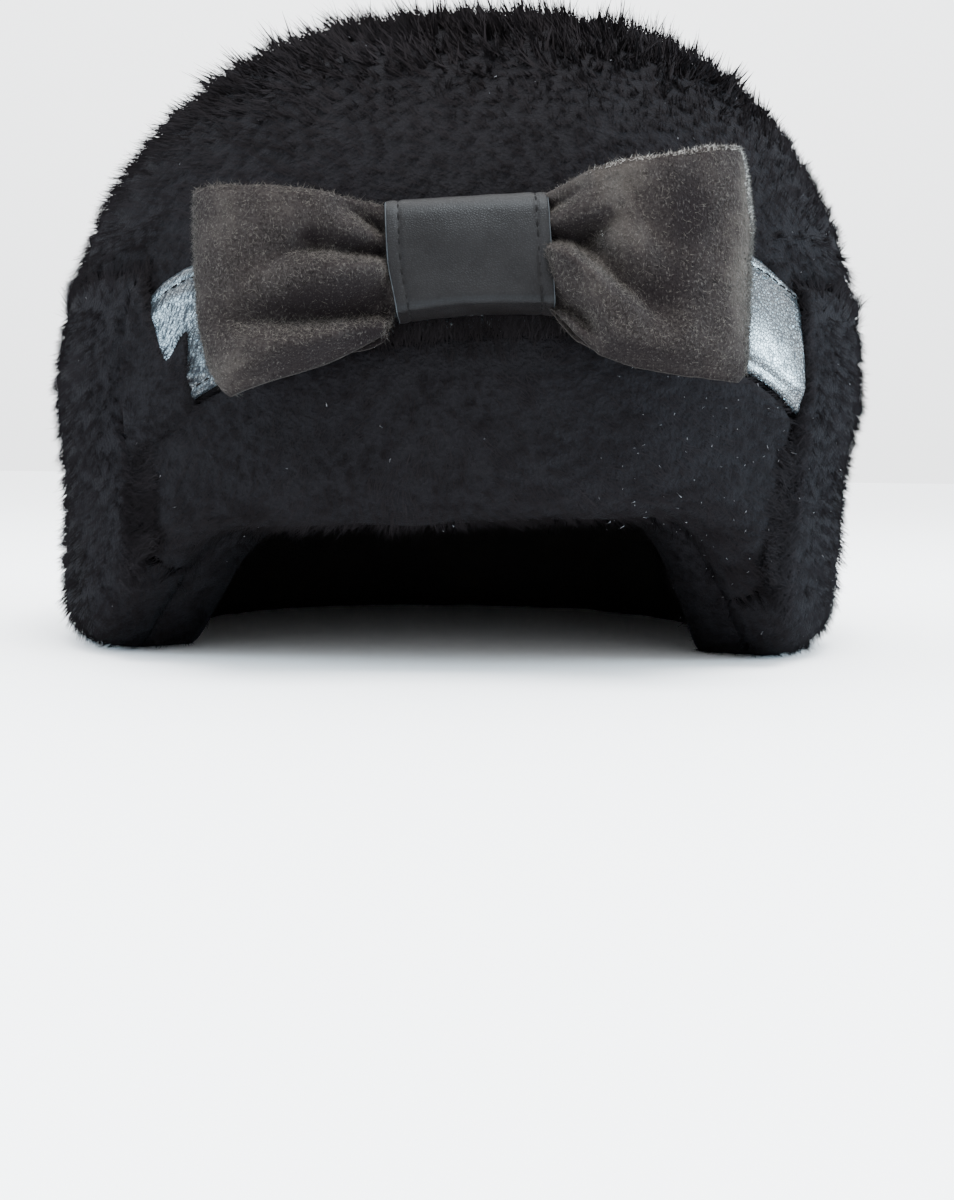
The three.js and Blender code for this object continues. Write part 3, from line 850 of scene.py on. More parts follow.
def grow(pelt, count, rng):
    """Roots, tips, normals and stoutness of a pelt's strands, in clumps that lean together in tufts."""
    name = pelt.name
    clumps = count // STRANDS_PER_CLUMP
    centres, normals = pelt.sample(clumps, rng)
    x, _, z = centres.T
    to_tuft = towards_tufts(pelt, centres, rng)
    outside = smooth(np.linalg.norm(to_tuft, axis=1) / TUFT_RADIUS)
    swirl = lumps(centres, 26.0, 11) * 0.9 + lumps(centres, 7.0, 12) * 0.5
    swirl = swirl + rng.normal(0, 0.2, clumps)
    ways = comb_direction(name, centres, normals, swirl)
    sides = np.cross(normals, ways)
    lift = strand_lift(name, centres) + lumps(centres, 9.0, 13) * 0.15 + rng.normal(0, 0.05, clumps)
    lift = np.clip(lift, 0.18, 0.95)
    near_top = smooth((z - 130 + 10 * rise(x, 0, -60)) / 25)
    tufts = 0.2 + 0.75 * near_top + 0.4 * rise(z, 48, -12)
    uneven = 1 + lumps(centres, 5.5, 14) * tufts + rng.normal(0, 0.08, clumps)
    length = strand_length(name, centres) * uneven * (1 + (0.05 + 0.35 * near_top) * (0.5 - outside))
    each = np.repeat(np.arange(clumps), STRANDS_PER_CLUMP)
    total = len(each)
    core = np.arange(total) % STRANDS_PER_CLUMP == 0
    reach = CLUMP_RADIUS * np.sqrt(rng.random(total)) * np.where(core, 0.3, 1.0)
    turn = rng.random(total) * 2 * math.pi
    spread = ways[each] * (reach * np.cos(turn))[:, None] + sides[each] * (reach * np.sin(turn))[:, None]
    roots = centres[each] + spread - normals[each] * STRAND_SINK
    own_lift = np.clip(lift[each] + rng.normal(0, 0.1, total), 0.12, 1.0)
    own_side = rng.normal(0, 0.16, total)
    along = np.sqrt(1 - own_lift**2)
    ways_own = normals[each] * own_lift[:, None] + ways[each] * along[:, None]
    ways_own += sides[each] * own_side[:, None]
    own_length = length[each] * np.where(core, 0.95, rng.uniform(0.6, 1.12, total)) + STRAND_SINK
    gather = 0.55 + 0.4 * near_top[each]
    tips = roots + unit(ways_own) * own_length[:, None] - spread * gather[:, None]
    tips += to_tuft[each] * (0.1 + 0.4 * near_top[each])[:, None]
    roots[:, 2] = np.maximum(roots[:, 2], STRAND_FLOOR)
    tips[:, 2] = np.maximum(tips[:, 2], STRAND_FLOOR)
    relief = TUFT_RELIEF * lerp(0.5, 0.8, near_top)
    shaded = unit(normals - to_tuft / TUFT_RADIUS * relief[:, None])
    stoutness = np.where(core, lerp(CORE_STOUTNESS, TOP_CORE_STOUTNESS, near_top[each]), 1.0)
    return roots, tips, shaded[each], stoutness[:, None]


def lying_tuft(rng, azimuth, height, turn, climb, reach):
    """Strands that lie along the hat's face from each azimuth and height, by a turn and a climb."""
    clumps = len(azimuth)
    centres = flap_point(azimuth, height, 1.7 + rng.random(clumps))
    ahead = flap_point(azimuth + turn, height + climb, 1.0)
    ways = unit(ahead - centres)
    normals = unit(flap_point(azimuth, height, 0.0) - flap_point(azimuth, height, 5.0))
    normals = unit(normals + rng.normal(0, 0.16, (clumps, 3)))
    each = np.repeat(np.arange(clumps), STRANDS_PER_CLUMP)
    total = len(each)
    spread = rng.normal(0, 0.6, (total, 3))
    roots = centres[each] + spread
    bend = rng.normal(0, 0.12, (total, 3)) + normals[each] * rng.uniform(0.0, 0.14, total)[:, None]
    tips = roots + unit(ways[each] + bend) * (reach[each] * rng.uniform(0.6, 1.05, total))[:, None]
    return roots, tips - spread * 0.4, normals[each], np.ones((total, 1))


# Fur at the upright edges of the flaps: the edge, the side of it that the roots are on, with 1 to the right,
# the lowest and the highest root, the number of clumps, how far the fur reaches over the edge, and how many
# degrees its roots go in from the edge
SPANS = {
    "side_back_flap": [
        (FLAP_EDGE_LEFT, -1, 52, 92, 240, 5.5, 1.8),
        (FLAP_EDGE_LEFT, -1, 16, 60, 560, 5.6, 3.6),
        (FLAP_EDGE_RIGHT, 1, 12, 60, 560, 5.6, 3.6),
        (FLAP_EDGE_RIGHT, 1, 52, 95, 300, 3.4, 1.6),
    ],
    "front_flap": [
        (FLAP_EDGE_LEFT, 1, 20, 56, 300, 4.4, 3.0),
        (FLAP_EDGE_RIGHT, -1, 20, 56, 300, 4.4, 3.0),
    ],
}
UNDER_KNOT_CLUMPS = 460
UNDER_KNOT_REACH = 11.0


def edge_tuft(rng, edge, side, low, high, clumps, reach, depth):
    """Fur of a flap's upright edge that leans over the band's end and over the channel."""
    azimuth = edge + side * (0.6 + rng.random(clumps) * depth)
    above_rim = rim_height(azimuth) + rng.uniform(2.0, 6.0, clumps)
    height = np.maximum(rng.uniform(low, high, clumps), above_rim)
    length = reach + lumps(flap_point(azimuth, height, 0.0), 6.0, 61) * 3.0
    return lying_tuft(rng, azimuth, height, -side * 6.0, rng.normal(-3.0, 5.0, clumps), length)


def under_knot_shade_tuft(rng):
    """Fur of the front flap that stands up over the band's low edge under the knot: its dark fur covers the
    band where it lies in shade, standing in for that shade.
    """
    count = UNDER_KNOT_CLUMPS
    azimuth = rng.uniform(-UNDER_KNOT_REACH, UNDER_KNOT_REACH, count)
    height = band_low(azimuth) + rng.uniform(-3.0, 1.6, count)
    return lying_tuft(rng, azimuth, height, rng.normal(0, 0.8, count), 6.0, rng.uniform(3.4, 5.4, count))


def plant_strands(pelts):
    areas = np.array([pelt.areas().sum() * FUR_DENSITY.get(pelt.name, 1.0) for pelt in pelts])
    counts = (STRAND_TOTAL * areas / areas.sum()).astype(int)
    for index, (pelt, count) in enumerate(zip(pelts, counts)):
        rng = np.random.default_rng(100 + index)
        tufts = [grow(pelt, count, rng)]
        if pelt.name == "front_flap":
            tufts.append(under_knot_shade_tuft(rng))
        tufts += [edge_tuft(rng, *span) for span in SPANS.get(pelt.name, [])]
        roots, tips, normals, stoutness = [np.vstack(parts) for parts in zip(*tufts)]
        order = np.argsort(roots[:, 0], kind="stable")
        parts = math.ceil(len(order) / STRANDS_PER_PIECE)
        for part, chosen in enumerate(np.array_split(order, parts)):
            stout = 1 + TOP_STOUTNESS * rise(roots[chosen, 2], 125, 30)
            radius = STRAND_RADIUS * stout * stoutness[chosen, 0] * rng.uniform(0.75, 1.2, len(chosen))
            name = f"{pelt.name}_fur_{part + 1}"
            fur = strand_object(name, FUR, roots[chosen], tips[chosen], radius, rng, normals[chosen])
            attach(fur, "root")


LINT_COUNT = 520
LINT_FLOOR = 1.0


def make_lint(pelts):
    """Pale specks caught in the fur, most of them at the hat's right."""
    rng = np.random.default_rng(55)
    roots, tips = [], []
    for pelt in pelts:
        centres, normals = pelt.sample(LINT_COUNT, rng)
        share = np.where((centres[:, 0] > 35) & (centres[:, 1] < 40), 0.66, 0.08)
        keep = rng.random(LINT_COUNT) < share
        centres, normals = centres[keep], normals[keep]
        count = len(centres)
        lie = unit(rng.normal(size=(count, 3)) + normals * 0.2)
        start = centres + normals * (PELT_DEPTH + rng.uniform(-0.6, 0.4, count))[:, None]
        roots.append(start)
        tips.append(start + lie * (0.35 + rng.exponential(0.35, count))[:, None])
    roots, tips = np.vstack(roots), np.vstack(tips)
    roots[:, 2] = np.maximum(roots[:, 2], LINT_FLOOR)
    tips[:, 2] = np.maximum(tips[:, 2], LINT_FLOOR)
    lint = strand_object("lint", LINT, roots, tips, rng.uniform(0.05, 0.13, len(roots)), rng)
    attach(lint, "root")


# Band, and the stitches of band and knot

BAND_SEAM = 2.6
BAND_SECTIONS = 200
BAND_ROWS = 40
BAND_BACK_ROWS = 6
BAND_EDGE_ROLL = 0.55
BAND_SEAM_DIP = 0.32
BAND_PUFF = 0.35
STITCH_PITCH = 3.0
STITCH_LENGTH = 2.3
STITCH_RADIUS = 0.24
STITCH_RINGS = ((-1, 0.25), (-0.8, 0.8), (0, 1), (0.8, 0.8), (1, 0.25))
STITCH_SIDES = 6
STITCH_LIFT = 0.18
STITCH_DIP = 1.6
STITCH_END_GAP = 0.6
STITCH_LINE_POINTS = 1200


def band_swell(azimuth, across):
    """The band's right end swells below its middle and leans back above it."""
    return rise(azimuth, 22, 8) * (0.8 * rise(across, 0.4, 0.6) - 0.5 * bell(across, 0.3, 0.3))


def band_section(azimuth):
    """One section of the band: its outer face with two stitched seams, and its flat back."""
    low, high = band_low(azimuth), band_high(azimuth)
    width = high - low
    across = np.linspace(0, 1, BAND_ROWS)
    from_edge = np.minimum(across, 1 - across) * width
    from_seam = np.minimum(across * width - BAND_SEAM, (1 - across) * width - top_seam(azimuth))
    rolled = BAND_EDGE_ROLL * np.exp(-from_edge / 0.45)
    seam = BAND_SEAM_DIP * bell(from_seam, 0.0, 0.55)
    puff = -BAND_PUFF * smooth(from_seam / 4.0)
    depth = BAND_DEPTH + rolled + seam + puff + band_swell(azimuth, across)
    outer = flap_point(azimuth, low + across * width, depth)
    back_heights = low + np.linspace(0.99, 0.01, BAND_BACK_ROWS) * width
    return np.vstack([outer, flap_point(azimuth, back_heights, BAND_DEPTH + BAND_THICKNESS)])


def make_band():
    azimuths = np.linspace(FRONT_AZIMUTHS[0], FRONT_AZIMUTHS[-1], BAND_SECTIONS)
    sections = np.array([band_section(a) for a in azimuths])
    count, size = sections.shape[:2]
    points, faces = closed_strip(sections)
    skin = points[:-2]
    wrinkled = rise(skin[:, 0], -20.0, -20.0)
    creased = lumps(skin, 9.0, 21) * (0.12 + 0.16 * wrinkled)
    creased += lumps(skin, 3.2, 22) * (0.03 + 0.1 * wrinkled)
    outer = np.tile(np.arange(size) < BAND_ROWS, count)
    skin += unit(skin * [1, 1, 0]) * (creased * outer)[:, None]
    uvs = grid_uvs(count, size, 2)
    band = mesh_object("band_leather", points, outward(points, faces), [GLOSS_LEATHER], uvs)
    add_values(band, "wrinkled", np.concatenate([wrinkled, [1.0, 0.0]]))
    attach(band, "root")
    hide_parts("band")


def stitch_points(middle, way, normal):
    """Rings of one stitch: a slim rounded thread that dips in at both ends."""
    side = np.cross(normal, way)
    rings = []
    for share, width in STITCH_RINGS:
        sunk = STITCH_RADIUS * STITCH_DIP * abs(share) ** 3
        centre = middle + way * share * STITCH_LENGTH / 2 - normal * sunk
        for turn in np.radians(np.arange(0, 360, 360 / STITCH_SIDES)):
            rings.append(centre + (side * math.cos(turn) + normal * math.sin(turn)) * STITCH_RADIUS * width)
    return rings


def stitch_places(line, first, axis, outer):
    """Place, way and normal of each stitch along a line. Outer weighs the axes that point outside."""
    travelled = np.concatenate([[0], np.cumsum(np.linalg.norm(np.diff(line, axis=0), axis=1))])
    places = []
    for distance in np.arange(first, travelled[-1], STITCH_PITCH):
        i = min(int(np.searchsorted(travelled, distance)), len(line) - 2)
        way = unit(line[i + 1] - line[i])
        normal = unit(np.cross(way, axis))
        if np.dot(normal, line[i] * outer) < 0:
            normal = -normal
        places.append((line[i], way, normal))
    return places


def stitches_object(name, places, material):
    """places is a list of (middle, way, normal), one for each stitch."""
    points, faces = [], []
    rings = len(STITCH_RINGS)
    size = rings * STITCH_SIDES
    for middle, way, normal in places:
        start = len(points)
        points += stitch_points(middle, way, normal)
        faces += [[start + i for i in face] for face in grid_faces(rings, STITCH_SIDES, False, True)]
        faces.append([start + i for i in reversed(range(STITCH_SIDES))])
        faces.append([start + i for i in range(size - STITCH_SIDES, size)])
    points = np.array(points)
    index = np.arange(len(points))
    cell = index // size
    uvs = np.stack([(cell % 16 + 0.5) / 16, (cell // 16 % 16 + 0.5) / 16], axis=-1)
    uvs += np.stack([index % STITCH_SIDES * 0.006, index % size // STITCH_SIDES * 0.006], axis=-1)
    return mesh_object(name, points, outward(points, faces), [material], uvs)


def band_stitches():
    places = []
    start, stop = FRONT_AZIMUTHS[0] + STITCH_END_GAP, FRONT_AZIMUTHS[-1] - STITCH_END_GAP
    fine = np.linspace(start, stop, STITCH_LINE_POINTS)
    for heights in (band_low(fine) + BAND_SEAM, band_high(fine) - top_seam(fine)):
        line = flap_point(fine, heights, np.full_like(fine, BAND_DEPTH + STITCH_LIFT))
        places += stitch_places(line, STITCH_PITCH / 2, [0, 0, 1.0], [1, 1, 0])
    stitches = stitches_object("band_stitches", places, THREAD)
    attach(stitches, "root")


# Bow. In its own frame x is along it, y points to the back and z is up.

KNOT_HALF_WIDTH = 18.1
BOW_PLACE = np.array([0.900, -134.243, 95.091])
BOW_LEAN = -0.1580
BOW_TILT = -0.0698
BOW_TURN = np.array(Euler((BOW_LEAN, BOW_TILT, 0)).to_matrix())
BOW_WALL = 1.3
BOW_ROWS = 40
BOW_COLUMNS = 74
BOW_END_COLUMNS = 10
BOW_END_START = 0.92
BOW_END_SPAN = 0.08
BOW_BACK_PUFF = 0.13
BOW_PINCH_DEPTH = 3.3
BOW_OPENING_REACH = 14.0
BOW_BACK_LIFT = 2.6
BOW_LEAST_DEPTH = 0.25
PUFF_REACH = [0, 17.0, 19.5, 23, 28, 36, 46, 56, 62]
PUFF_DEPTH = [3.3, 3.8, 6.8, 9.0, 10.2, 10.4, 9.0, 6.6, 5.0]

# Top and low edge of each loop, by the distance from the knot's middle
BOW_REACH = [0, 16.4, 18.9, 23, 28, 36, 46, 61]
LEFT_TOP = [13, 13, 13.3, 13.7, 14.7, 16.6, 18.0, 19.4]
LEFT_LOW = [-9.6, -9.6, -16.4, -18.8, -21, -23.2, -25.4, -29.2]
RIGHT_TOP = [13, 13, 13.6, 14.6, 16.4, 18.5, 19.6, 22.2]
RIGHT_LOW = [-9.6, -9.6, -12.6, -19.0, -23.4, -26.6, -29.0, -31.0]

# How far each loop's end reaches, by the height on it from -1 to 1
END_HEIGHTS = [-1, -0.92, -0.7, -0.35, 0, 0.3, 0.6, 0.85, 0.95, 1]
LEFT_END = [53.6, 55.4, 58.0, 59.7, 60.2, 60.2, 60.0, 59.9, 59.8, 59.6]
RIGHT_END = [58.6, 60.6, 61.5, 62.2, 63.1, 64.0, 63.8, 63.4, 63.1, 62.7]

# Folds of the front layer: the three points of a fold's line, along the bow and up, then its depth, and its
# width at the start and at the end. A depth below 0 stands out. A fold fades towards its end.
FOLDS = [
    ((-17.5, 2.0), (-25.7, 2.3), (-38.0, 5.0), 6.5, 1.6, 3.2),
    ((-17.5, 7.4), (-21.8, 10.0), (-28.5, 14.2), 5.7, 1.7, 2.6),
    ((-17.5, -9.4), (-30.0, -11.4), (-62.0, -10.4), 9.2, 3.4, 4.4),
    ((-17.5, -3.0), (-30.0, -2.6), (-44.0, -5.6), -2.6, 2.6, 4.4),
    ((-17.5, -15.4), (-35.4, -18.8), (-54.0, -17.0), -2.3, 2.4, 4.0),
    ((-33.0, 4.0), (-39.0, 2.6), (-50.0, -2.5), 2.9, 2.6, 4.0),
    ((17.5, 3.4), (26.0, 2.6), (37.5, 7.2), 6.8, 1.5, 2.8),
    ((17.5, 9.8), (22.4, 11.2), (28.5, 14.6), 4.7, 1.5, 2.4),
    ((27.0, 1.6), (34.0, -8.2), (47.0, -20.0), 6.0, 3.2, 4.6),
    ((17.5, 0.2), (26.4, -6.4), (39.0, -17.2), -3.4, 2.4, 3.2),
    ((17.5, -9.9), (23.0, -13.2), (30.0, -21.8), 7.8, 1.5, 2.1),
    ((17.5, -13.6), (21.8, -17.6), (27.0, -23.0), -1.8, 1.8, 2.4),
    ((36.0, 13.0), (41.0, 2.0), (47.0, -10.0), 2.1, 2.8, 4.4),
]


def along_fold(x, z, *ends):
    """Distance from a fold's line and the share of the way along it, for each point."""
    ends = np.array(ends)
    lengths = [np.linalg.norm(ends[k + 1] - ends[k]) for k in range(2)]
    best = np.full(x.shape, 1e9)
    share = np.zeros(x.shape)
    for k in range(2):
        way = (ends[k + 1] - ends[k]) / lengths[k]
        run = np.clip((x - ends[k][0]) * way[0] + (z - ends[k][1]) * way[1], 0, lengths[k])
        gap = np.hypot(x - ends[k][0] - way[0] * run, z - ends[k][1] - way[1] * run)
        nearer = gap < best
        best = np.where(nearer, gap, best)
        share = np.where(nearer, (run + k * lengths[0]) / sum(lengths), share)
    return best, share


def fold_depth(x, z):
    total = np.zeros(x.shape)
    for start, middle, end, depth, width, end_width in FOLDS:
        gap, share = along_fold(x, z, start, middle, end)
        total += depth * np.exp(-((gap / lerp(width, end_width, share)) ** 1.5)) * (1 - share**2.2)
    return total


def of_loop(left, at, places, left_values, right_values):
    """A value from the table of the left or the right loop."""
    return np.where(left, np.interp(at, places, left_values), np.interp(at, places, right_values))


def bow_layer(along, up, side, inset):
    """Points of one layer of the bow. Side is -1 on the front layer and 1 on the back one."""
    left = along < 0
    x = along * (of_loop(left, up, END_HEIGHTS, LEFT_END, RIGHT_END) - inset)
    reach = np.abs(x)
    top = of_loop(left, reach, BOW_REACH, LEFT_TOP, RIGHT_TOP)
    low = of_loop(left, reach, BOW_REACH, LEFT_LOW, RIGHT_LOW)
    z = lerp(low, top, (up + 1) / 2)
    beyond = np.maximum(0, reach - KNOT_HALF_WIDTH)
    opening = smooth(beyond / BOW_OPENING_REACH)
    if side < 0:
        depth = np.interp(reach, PUFF_REACH, PUFF_DEPTH)
        depth = depth - fold_depth(x, z) * rise(reach - KNOT_HALF_WIDTH, -2.5, 3.5)
    else:
        depth = BOW_PINCH_DEPTH + BOW_BACK_PUFF * beyond
        z = z + BOW_BACK_LIFT * opening * (1 - up) / 2
    flattened = lerp(1 - 0.4 * up**4, 1.0, opening)
    rolled = 1 - (0.6 * rise(up, -0.72, -0.28) ** 1.5 + 0.15 * rise(up, 0.9, 0.1)) * opening
    close = np.sqrt(np.maximum(0, 1 - np.abs(along) ** 16))
    depth = np.maximum(depth * flattened * rolled - inset, BOW_LEAST_DEPTH) * close
    return np.stack([x, side * depth, z], axis=-1)


# Patches where the nap is paler or darker: the middle of the patch along the bow and up, its half size along
# the bow and up, and its tone, below 0 where it is dark
NAP_TONE_BASE = 0.45
NAP_TONE_PATCHES = [
    (49.0, 6.0, 8.0, 12.0, -0.46),
    (42.0, -11.0, 10.0, 6.0, -0.34),
    (60.5, -8.0, 4.0, 14.0, 0.55),
    (63.5, 10.0, 1.8, 12.0, 0.6),
    (35.0, 3.0, 9.0, 10.0, 0.12),
    (33.0, 14.0, 9.0, 5.0, 0.3),
    (29.0, -8.0, 5.0, 5.0, 0.25),
    (-38.0, 4.0, 10.0, 6.0, -0.2),
    (-52.0, 9.0, 9.0, 8.0, 0.12),
    (-53.0, -22.0, 8.0, 5.0, 0.25),
    (-30.0, -12.0, 18.0, 4.0, -0.22),
    (-20.5, -15.0, 5.0, 5.0, -0.5),
]


def nap_tone_share(points):
    """From 0 on dark nap to 1 on pale nap, for points in the bow's own frame."""
    total = np.full(len(points), NAP_TONE_BASE)
    for x, z, half_x, half_z, tone in NAP_TONE_PATCHES:
        across = (points[:, 0] - x) / half_x
        up = (points[:, 2] - z) / half_z
        total += tone * np.exp(-(across**2) - up**2)
    return np.clip(total, 0, 1)


def bow_to_hat(points):
    """Points from the bow's own frame into hat millimetres."""
    return points @ BOW_TURN.T + BOW_PLACE


def make_bow():
    """The bow as one flattened ring. Gives back what its nap is planted on."""
    edge = 1 - (1 - np.linspace(0, 1, BOW_END_COLUMNS)) ** 2 * BOW_END_SPAN
    half = np.concatenate([np.linspace(0, BOW_END_START, BOW_COLUMNS, endpoint=False), edge])
    along = np.concatenate([-half[::-1], half[1:]])
    up = np.linspace(-1, 1, BOW_ROWS)
    sections = []
    back = along[::-1][1:-1]
    for value, side in [*[(a, -1) for a in along], *[(a, 1) for a in back]]:
        spot = np.full(BOW_ROWS, value)
        outer = bow_layer(spot, up, side, 0.0)
        inner = bow_layer(spot, up[::-1], side, BOW_WALL)
        sections.append(np.vstack([outer, inner]))
    sections = np.array(sections)
    count, size = sections.shape[:2]
    points = sections.reshape(-1, 3)
    rough = lumps(points, 6.0, 31) * 0.35 + lumps(points, 1.3, 32) * 0.12
    open_part = rise(np.abs(points[:, 0]) - KNOT_HALF_WIDTH, 1.0, 6.0)
    faces = outward(points, grid_faces(count, size, True, True))
    normals = point_normals(points, faces)
    # Faces that turn down get a lower tone: painted shade on the bow's undersides
    tone_and_painted_shade = np.clip(nap_tone_share(points) - 0.4 * rise(normals[:, 2], -0.5, -0.4), 0, 1)
    points = bow_to_hat(points + normals * (rough * open_part)[:, None])
    bow = mesh_object("bow_suede", points, faces, [SUEDE], grid_uvs(count, size))
    add_values(bow, "tone_and_painted_shade", tone_and_painted_shade)
    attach(bow, "root")
    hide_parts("bow")
    return points, point_normals(points, faces), np.array(faces), tone_and_painted_shade


NAP_COUNT = 23000
FRINGE_COUNT = 1500
FACE_STAND = 0.22
EDGE_STAND = 1.0
FRINGE_STAND = 1.6


def plant_fibres(name, material, count, weight, stand, reach, corners, ways, rng):
    """Short fibres on faces, most where the weight is high. They stand up by 0.2 to 0.9 of stand."""
    picks = rng.choice(len(weight), count, p=weight / weight.sum())
    across, down = rng.random((2, count, 1))
    first, second, third, fourth = (corners[picks, k] for k in range(4))
    roots = lerp(lerp(first, second, across), lerp(fourth, third, across), down)
    along = rng.normal(0, 0.5, (count, 3))
    along -= ways[picks] * np.einsum("ij,ij->i", along, ways[picks])[:, None]
    lean = unit(unit(along) + ways[picks] * (stand[picks] * rng.uniform(0.2, 0.9, count))[:, None])
    tips = roots + lean * rng.uniform(*reach, count)[:, None]
    fibres = strand_object(name, material, roots, tips, rng.uniform(0.035, 0.065, count), rng, ways[picks])
    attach(fibres, "root")


def bow_nap(points, normals, faces, tone_and_painted_shade):
    """Short fibres of the suede, thickest at its cut edges, and a fringe at its top right corner whose pale
    colour is painted backlight.
    """
    rng = np.random.default_rng(77)
    corners = points[faces]
    x, _, z = corners.mean(1).T
    ways = unit(normals[faces].mean(1))
    diagonals = corners[:, 2:] - corners[:, :2]
    areas = np.linalg.norm(np.cross(diagonals[:, 0], diagonals[:, 1]), axis=1) / 2
    seen = areas * (ways[:, 1] < 0.35)
    right_end = ways[:, 0] > 0.75
    edge = right_end | (ways[:, 0] < -0.75) | (ways[:, 2] > 0.6)
    patches = 0.15 + 2.2 * tone_and_painted_shade[faces].mean(1) ** 1.5
    nap = seen * (patches + 2.5 * edge + 2.5 * right_end) * np.where(ways[:, 2] < -0.6, 0.25, 1.0)
    stand = np.where(edge, EDGE_STAND, FACE_STAND)
    plant_fibres("bow_nap", NAP, NAP_COUNT, nap, stand, (0.85, 2.1), corners, ways, rng)
    # Fibres at the top right edges that carry the painted backlight
    painted_backlight_fringe = seen * edge * rise(x, 20, 20) * rise(z, 98, 14)
    stand = stand * FRINGE_STAND
    plant_fibres("bow_painted_backlight_fringe", PAINTED_BACKLIGHT_FRINGE, FRINGE_COUNT, painted_backlight_fringe, stand, (0.5, 1.3), corners, ways, rng)


# Knot, a ring round the bow's middle

KNOT_SHIFT = np.array([1.0, 0.0, 1.4])
KNOT_TOP_LEAN = 2.4
KNOT_WALL = 1.4
KNOT_CORNER = 2.0
KNOT_TOP_CORNER = 5.4
KNOT_CORNER_STEPS = 8
KNOT_SIDE_ROWS = 16
KNOT_HALF_DEPTH = 6.25
KNOT_HALF_HEIGHT = 13.45
KNOT_SEAM = 2.9
KNOT_FINE_EDGE = 5.5
KNOT_EDGE_STATIONS = 26
KNOT_MIDDLE_STATIONS = 20
KNOT_BULGE = 0.8
# Width of the painted highlight along the knot's side edges
KNOT_HIGHLIGHT_EDGE = 0.32
KNOT_FIRST_STITCH = 1.2


def knot_loop(x, inset):
    """A rounded rectangle round the bow's middle, rounder at its top, with its front bulged a little."""
    bulge = KNOT_BULGE * (1 - (x / KNOT_HALF_WIDTH) ** 2)
    corners = [(1, 1, KNOT_TOP_CORNER), (-1, 1, KNOT_TOP_CORNER)]
    corners += [(-1, -1, KNOT_CORNER), (1, -1, KNOT_CORNER)]
    arcs = []
    for quarter, (y, z, full_corner) in enumerate(corners):
        corner = full_corner - inset
        angles = (quarter + np.linspace(0, 1, KNOT_CORNER_STEPS + 1)) * math.pi / 2
        middle_y = y * (KNOT_HALF_DEPTH - full_corner) - (bulge if y < 0 else 0)
        middle_z = z * (KNOT_HALF_HEIGHT - full_corner)
        arc = [middle_y + corner * np.cos(angles), middle_z + corner * np.sin(angles)]
        arcs.append(np.stack(arc, axis=-1))
    loop = []
    for arc, following in zip(arcs, arcs[1:] + arcs[:1]):
        shares = np.linspace(0, 1, KNOT_SIDE_ROWS + 2)[1:-1, None]
        loop += [arc, lerp(arc[-1], following[0], shares)]
    loop = np.vstack(loop)
    in_front = loop[:, 0] < 0
    loop[:, 0] += in_front * KNOT_TOP_LEAN * rise(loop[:, 1], 2.0, 18.0)
    loop = np.column_stack([np.full(len(loop), x), loop]) + KNOT_SHIFT
    return knot_gathered(loop, x)


def knot_gathered(loop, x):
    """The loop, drawn in at the left of its low end, with its low edge arched."""
    low = smooth(-loop[:, 2] / KNOT_HALF_HEIGHT)
    loop[:, 0] += low * (1.5 if x < 0 else 0.1) * abs(x) / KNOT_HALF_WIDTH
    loop[:, 2] += low * 1.1 * (1 - (x / KNOT_HALF_WIDTH) ** 2)
    return loop


def knot_outer(x):
    """The knot's outer loop at x, with a dip at each seam and rolled edges."""
    from_edge = KNOT_HALF_WIDTH - abs(x)
    return knot_loop(x, 0.24 * bell(from_edge, KNOT_SEAM, 0.6) + 0.3 * math.exp(-from_edge / 0.3))


def make_knot():
    fine_edge = np.linspace(0, KNOT_FINE_EDGE, KNOT_EDGE_STATIONS)
    middle = np.linspace(KNOT_FINE_EDGE, KNOT_HALF_WIDTH, KNOT_MIDDLE_STATIONS)[1:]
    fine = KNOT_HALF_WIDTH - np.concatenate([fine_edge, middle])
    stations = np.concatenate([-fine, fine[::-1][1:]])
    outer = [knot_outer(x) for x in stations]
    inner = [knot_loop(x, KNOT_WALL) for x in stations[::-3]]
    sections = np.array([*outer, *inner])
    count, size = sections.shape[:2]
    points = sections.reshape(-1, 3)
    faces = outward(points, grid_faces(count, size, True, True))
    normals = point_normals(points, faces)
    rough = lumps(points, 7.0, 41) * 0.22
    outside = np.arange(len(points)) < len(outer) * size
    points = bow_to_hat(points + normals * (rough * outside)[:, None])
    # Faces near the side edges, and the hidden inner wall, get the painted highlight
    at_edge = np.ones(count, bool)
    at_edge[: len(outer)] = np.abs(stations) > KNOT_HALF_WIDTH - KNOT_HIGHLIGHT_EDGE
    painted_highlight = np.repeat(at_edge & np.roll(at_edge, -1), size)
    materials = [MATTE_LEATHER, PAINTED_EDGE_HIGHLIGHT]
    knot = mesh_object("knot_leather", points, faces, materials, grid_uvs(count, size), painted_highlight)
    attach(knot, "root")
    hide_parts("knot")


def knot_stitches():
    """Two seams of stitches, from top to bottom of the knot's front."""
    places = []
    for x in (KNOT_SEAM - KNOT_HALF_WIDTH, KNOT_HALF_WIDTH - KNOT_SEAM):
        loop = knot_outer(x)
        line = loop[loop[:, 1] < 1.0]
        for place, way, normal in stitch_places(line, KNOT_FIRST_STITCH, [1.0, 0, 0], [0, 1, 0.1]):
            places.append((bow_to_hat(place), BOW_TURN @ way, BOW_TURN @ normal))
    stitches = stitches_object("knot_stitches", places, KNOT_THREAD)
    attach(stitches, "root")


# Floor, light and camera

FLOOR_HALF = 30.0
LENS = 48.45
CAMERA_PLACE = (0.00546, -0.48989, 0.048)
CAMERA_PITCH = 4.43
CAMERA_ROLL = 0.8
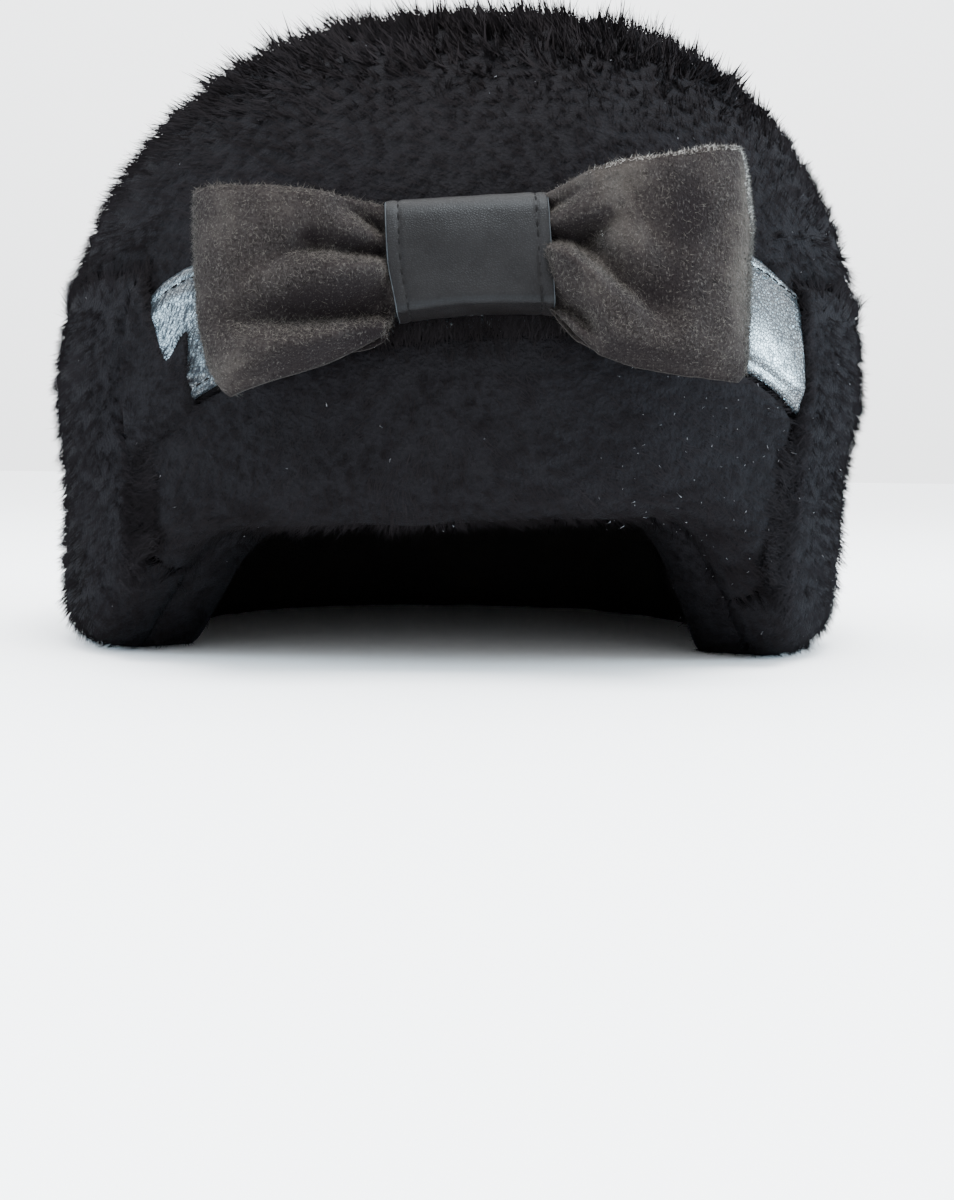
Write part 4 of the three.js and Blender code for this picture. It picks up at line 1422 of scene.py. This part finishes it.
# Lamps: name, place, the height above the floor's middle that it faces, size, power and colour
LAMPS = [
    ("key", (0.15, -0.55, 1.5), 0.1, (0.6, 0.6), 57.0, (1, 1, 1)),
    ("right", (1.3, -0.16, 0.18), 0.08, (0.45, 0.4), 51.0, (0.60, 0.84, 1.0)),
    ("left", (-1.3, -0.20, 0.34), 0.08, (0.45, 0.4), 18.0, (0.54, 0.80, 1.0)),
]


def make_floor():
    mesh = bpy.data.meshes.new("floor")
    signs = ((-1, -1), (1, -1), (1, 1), (-1, 1))
    corners = [(x * FLOOR_HALF, y * FLOOR_HALF, 0) for x, y in signs]
    mesh.from_pydata(corners, [], [(0, 1, 2, 3)])
    floor = bpy.data.objects.new("floor", mesh)
    bpy.context.scene.collection.objects.link(floor)
    mesh.materials.append(new_look("pale_floor").shade(Base_Color=(0.92, 0.93, 0.94, 1), Roughness=0.8))


def make_light():
    """A white room, brightest behind the hat, and three soft lamps that face its middle."""
    world = bpy.data.worlds.new("studio")
    bpy.context.scene.world = world
    room = Nodes(world)
    axes = room.add("SeparateXYZ", "X", {"Vector": room.add("TexCoord", "Generated", {})}).node.outputs
    behind = room.span(axes["Y"], -0.8, 1.0, 1.65, 3.2)
    above = room.span(axes["Z"], 0.02, 0.8, 0.0, 2.2)
    strength = room.maths("ADD", behind, above)
    room.fill(room.tree.nodes["Background"], {"Color": (0.96, 0.98, 1.0, 1), "Strength": strength})
    for name, place, height, size, power, colour in LAMPS:
        data = bpy.data.lights.new(name, "AREA")
        data.shape = "RECTANGLE"
        data.size, data.size_y = size
        data.energy = power
        data.color = colour
        light = bpy.data.objects.new(name, data)
        light.location = place
        way = Vector((0, 0, height)) - Vector(place)
        light.rotation_euler = way.to_track_quat("-Z", "Y").to_euler()
        bpy.context.scene.collection.objects.link(light)


def make_camera():
    data = bpy.data.cameras.new("camera")
    data.lens = LENS
    data.sensor_width = 36.0
    data.clip_start = 0.01
    camera = bpy.data.objects.new("camera", data)
    camera.location = CAMERA_PLACE
    tip = Euler((math.radians(90 - CAMERA_PITCH), 0, 0)).to_matrix()
    spin = Euler((0, 0, math.radians(CAMERA_ROLL))).to_matrix()
    camera.rotation_euler = (tip @ spin).to_euler()
    bpy.context.scene.collection.objects.link(camera)
    bpy.context.scene.camera = camera


make_camera()
make_floor()
make_light()
PELTS = [
    crown_pelt(),
    flap_pelt("front_flap", FRONT_AZIMUTHS),
    flap_pelt("side_back_flap", SIDE_BACK_AZIMUTHS),
    end_lobe_pelt(),
]
plant_strands(PELTS)
make_band()
band_stitches()
bow_nap(*make_bow())
make_knot()
knot_stitches()
make_lint(PELTS[:3])
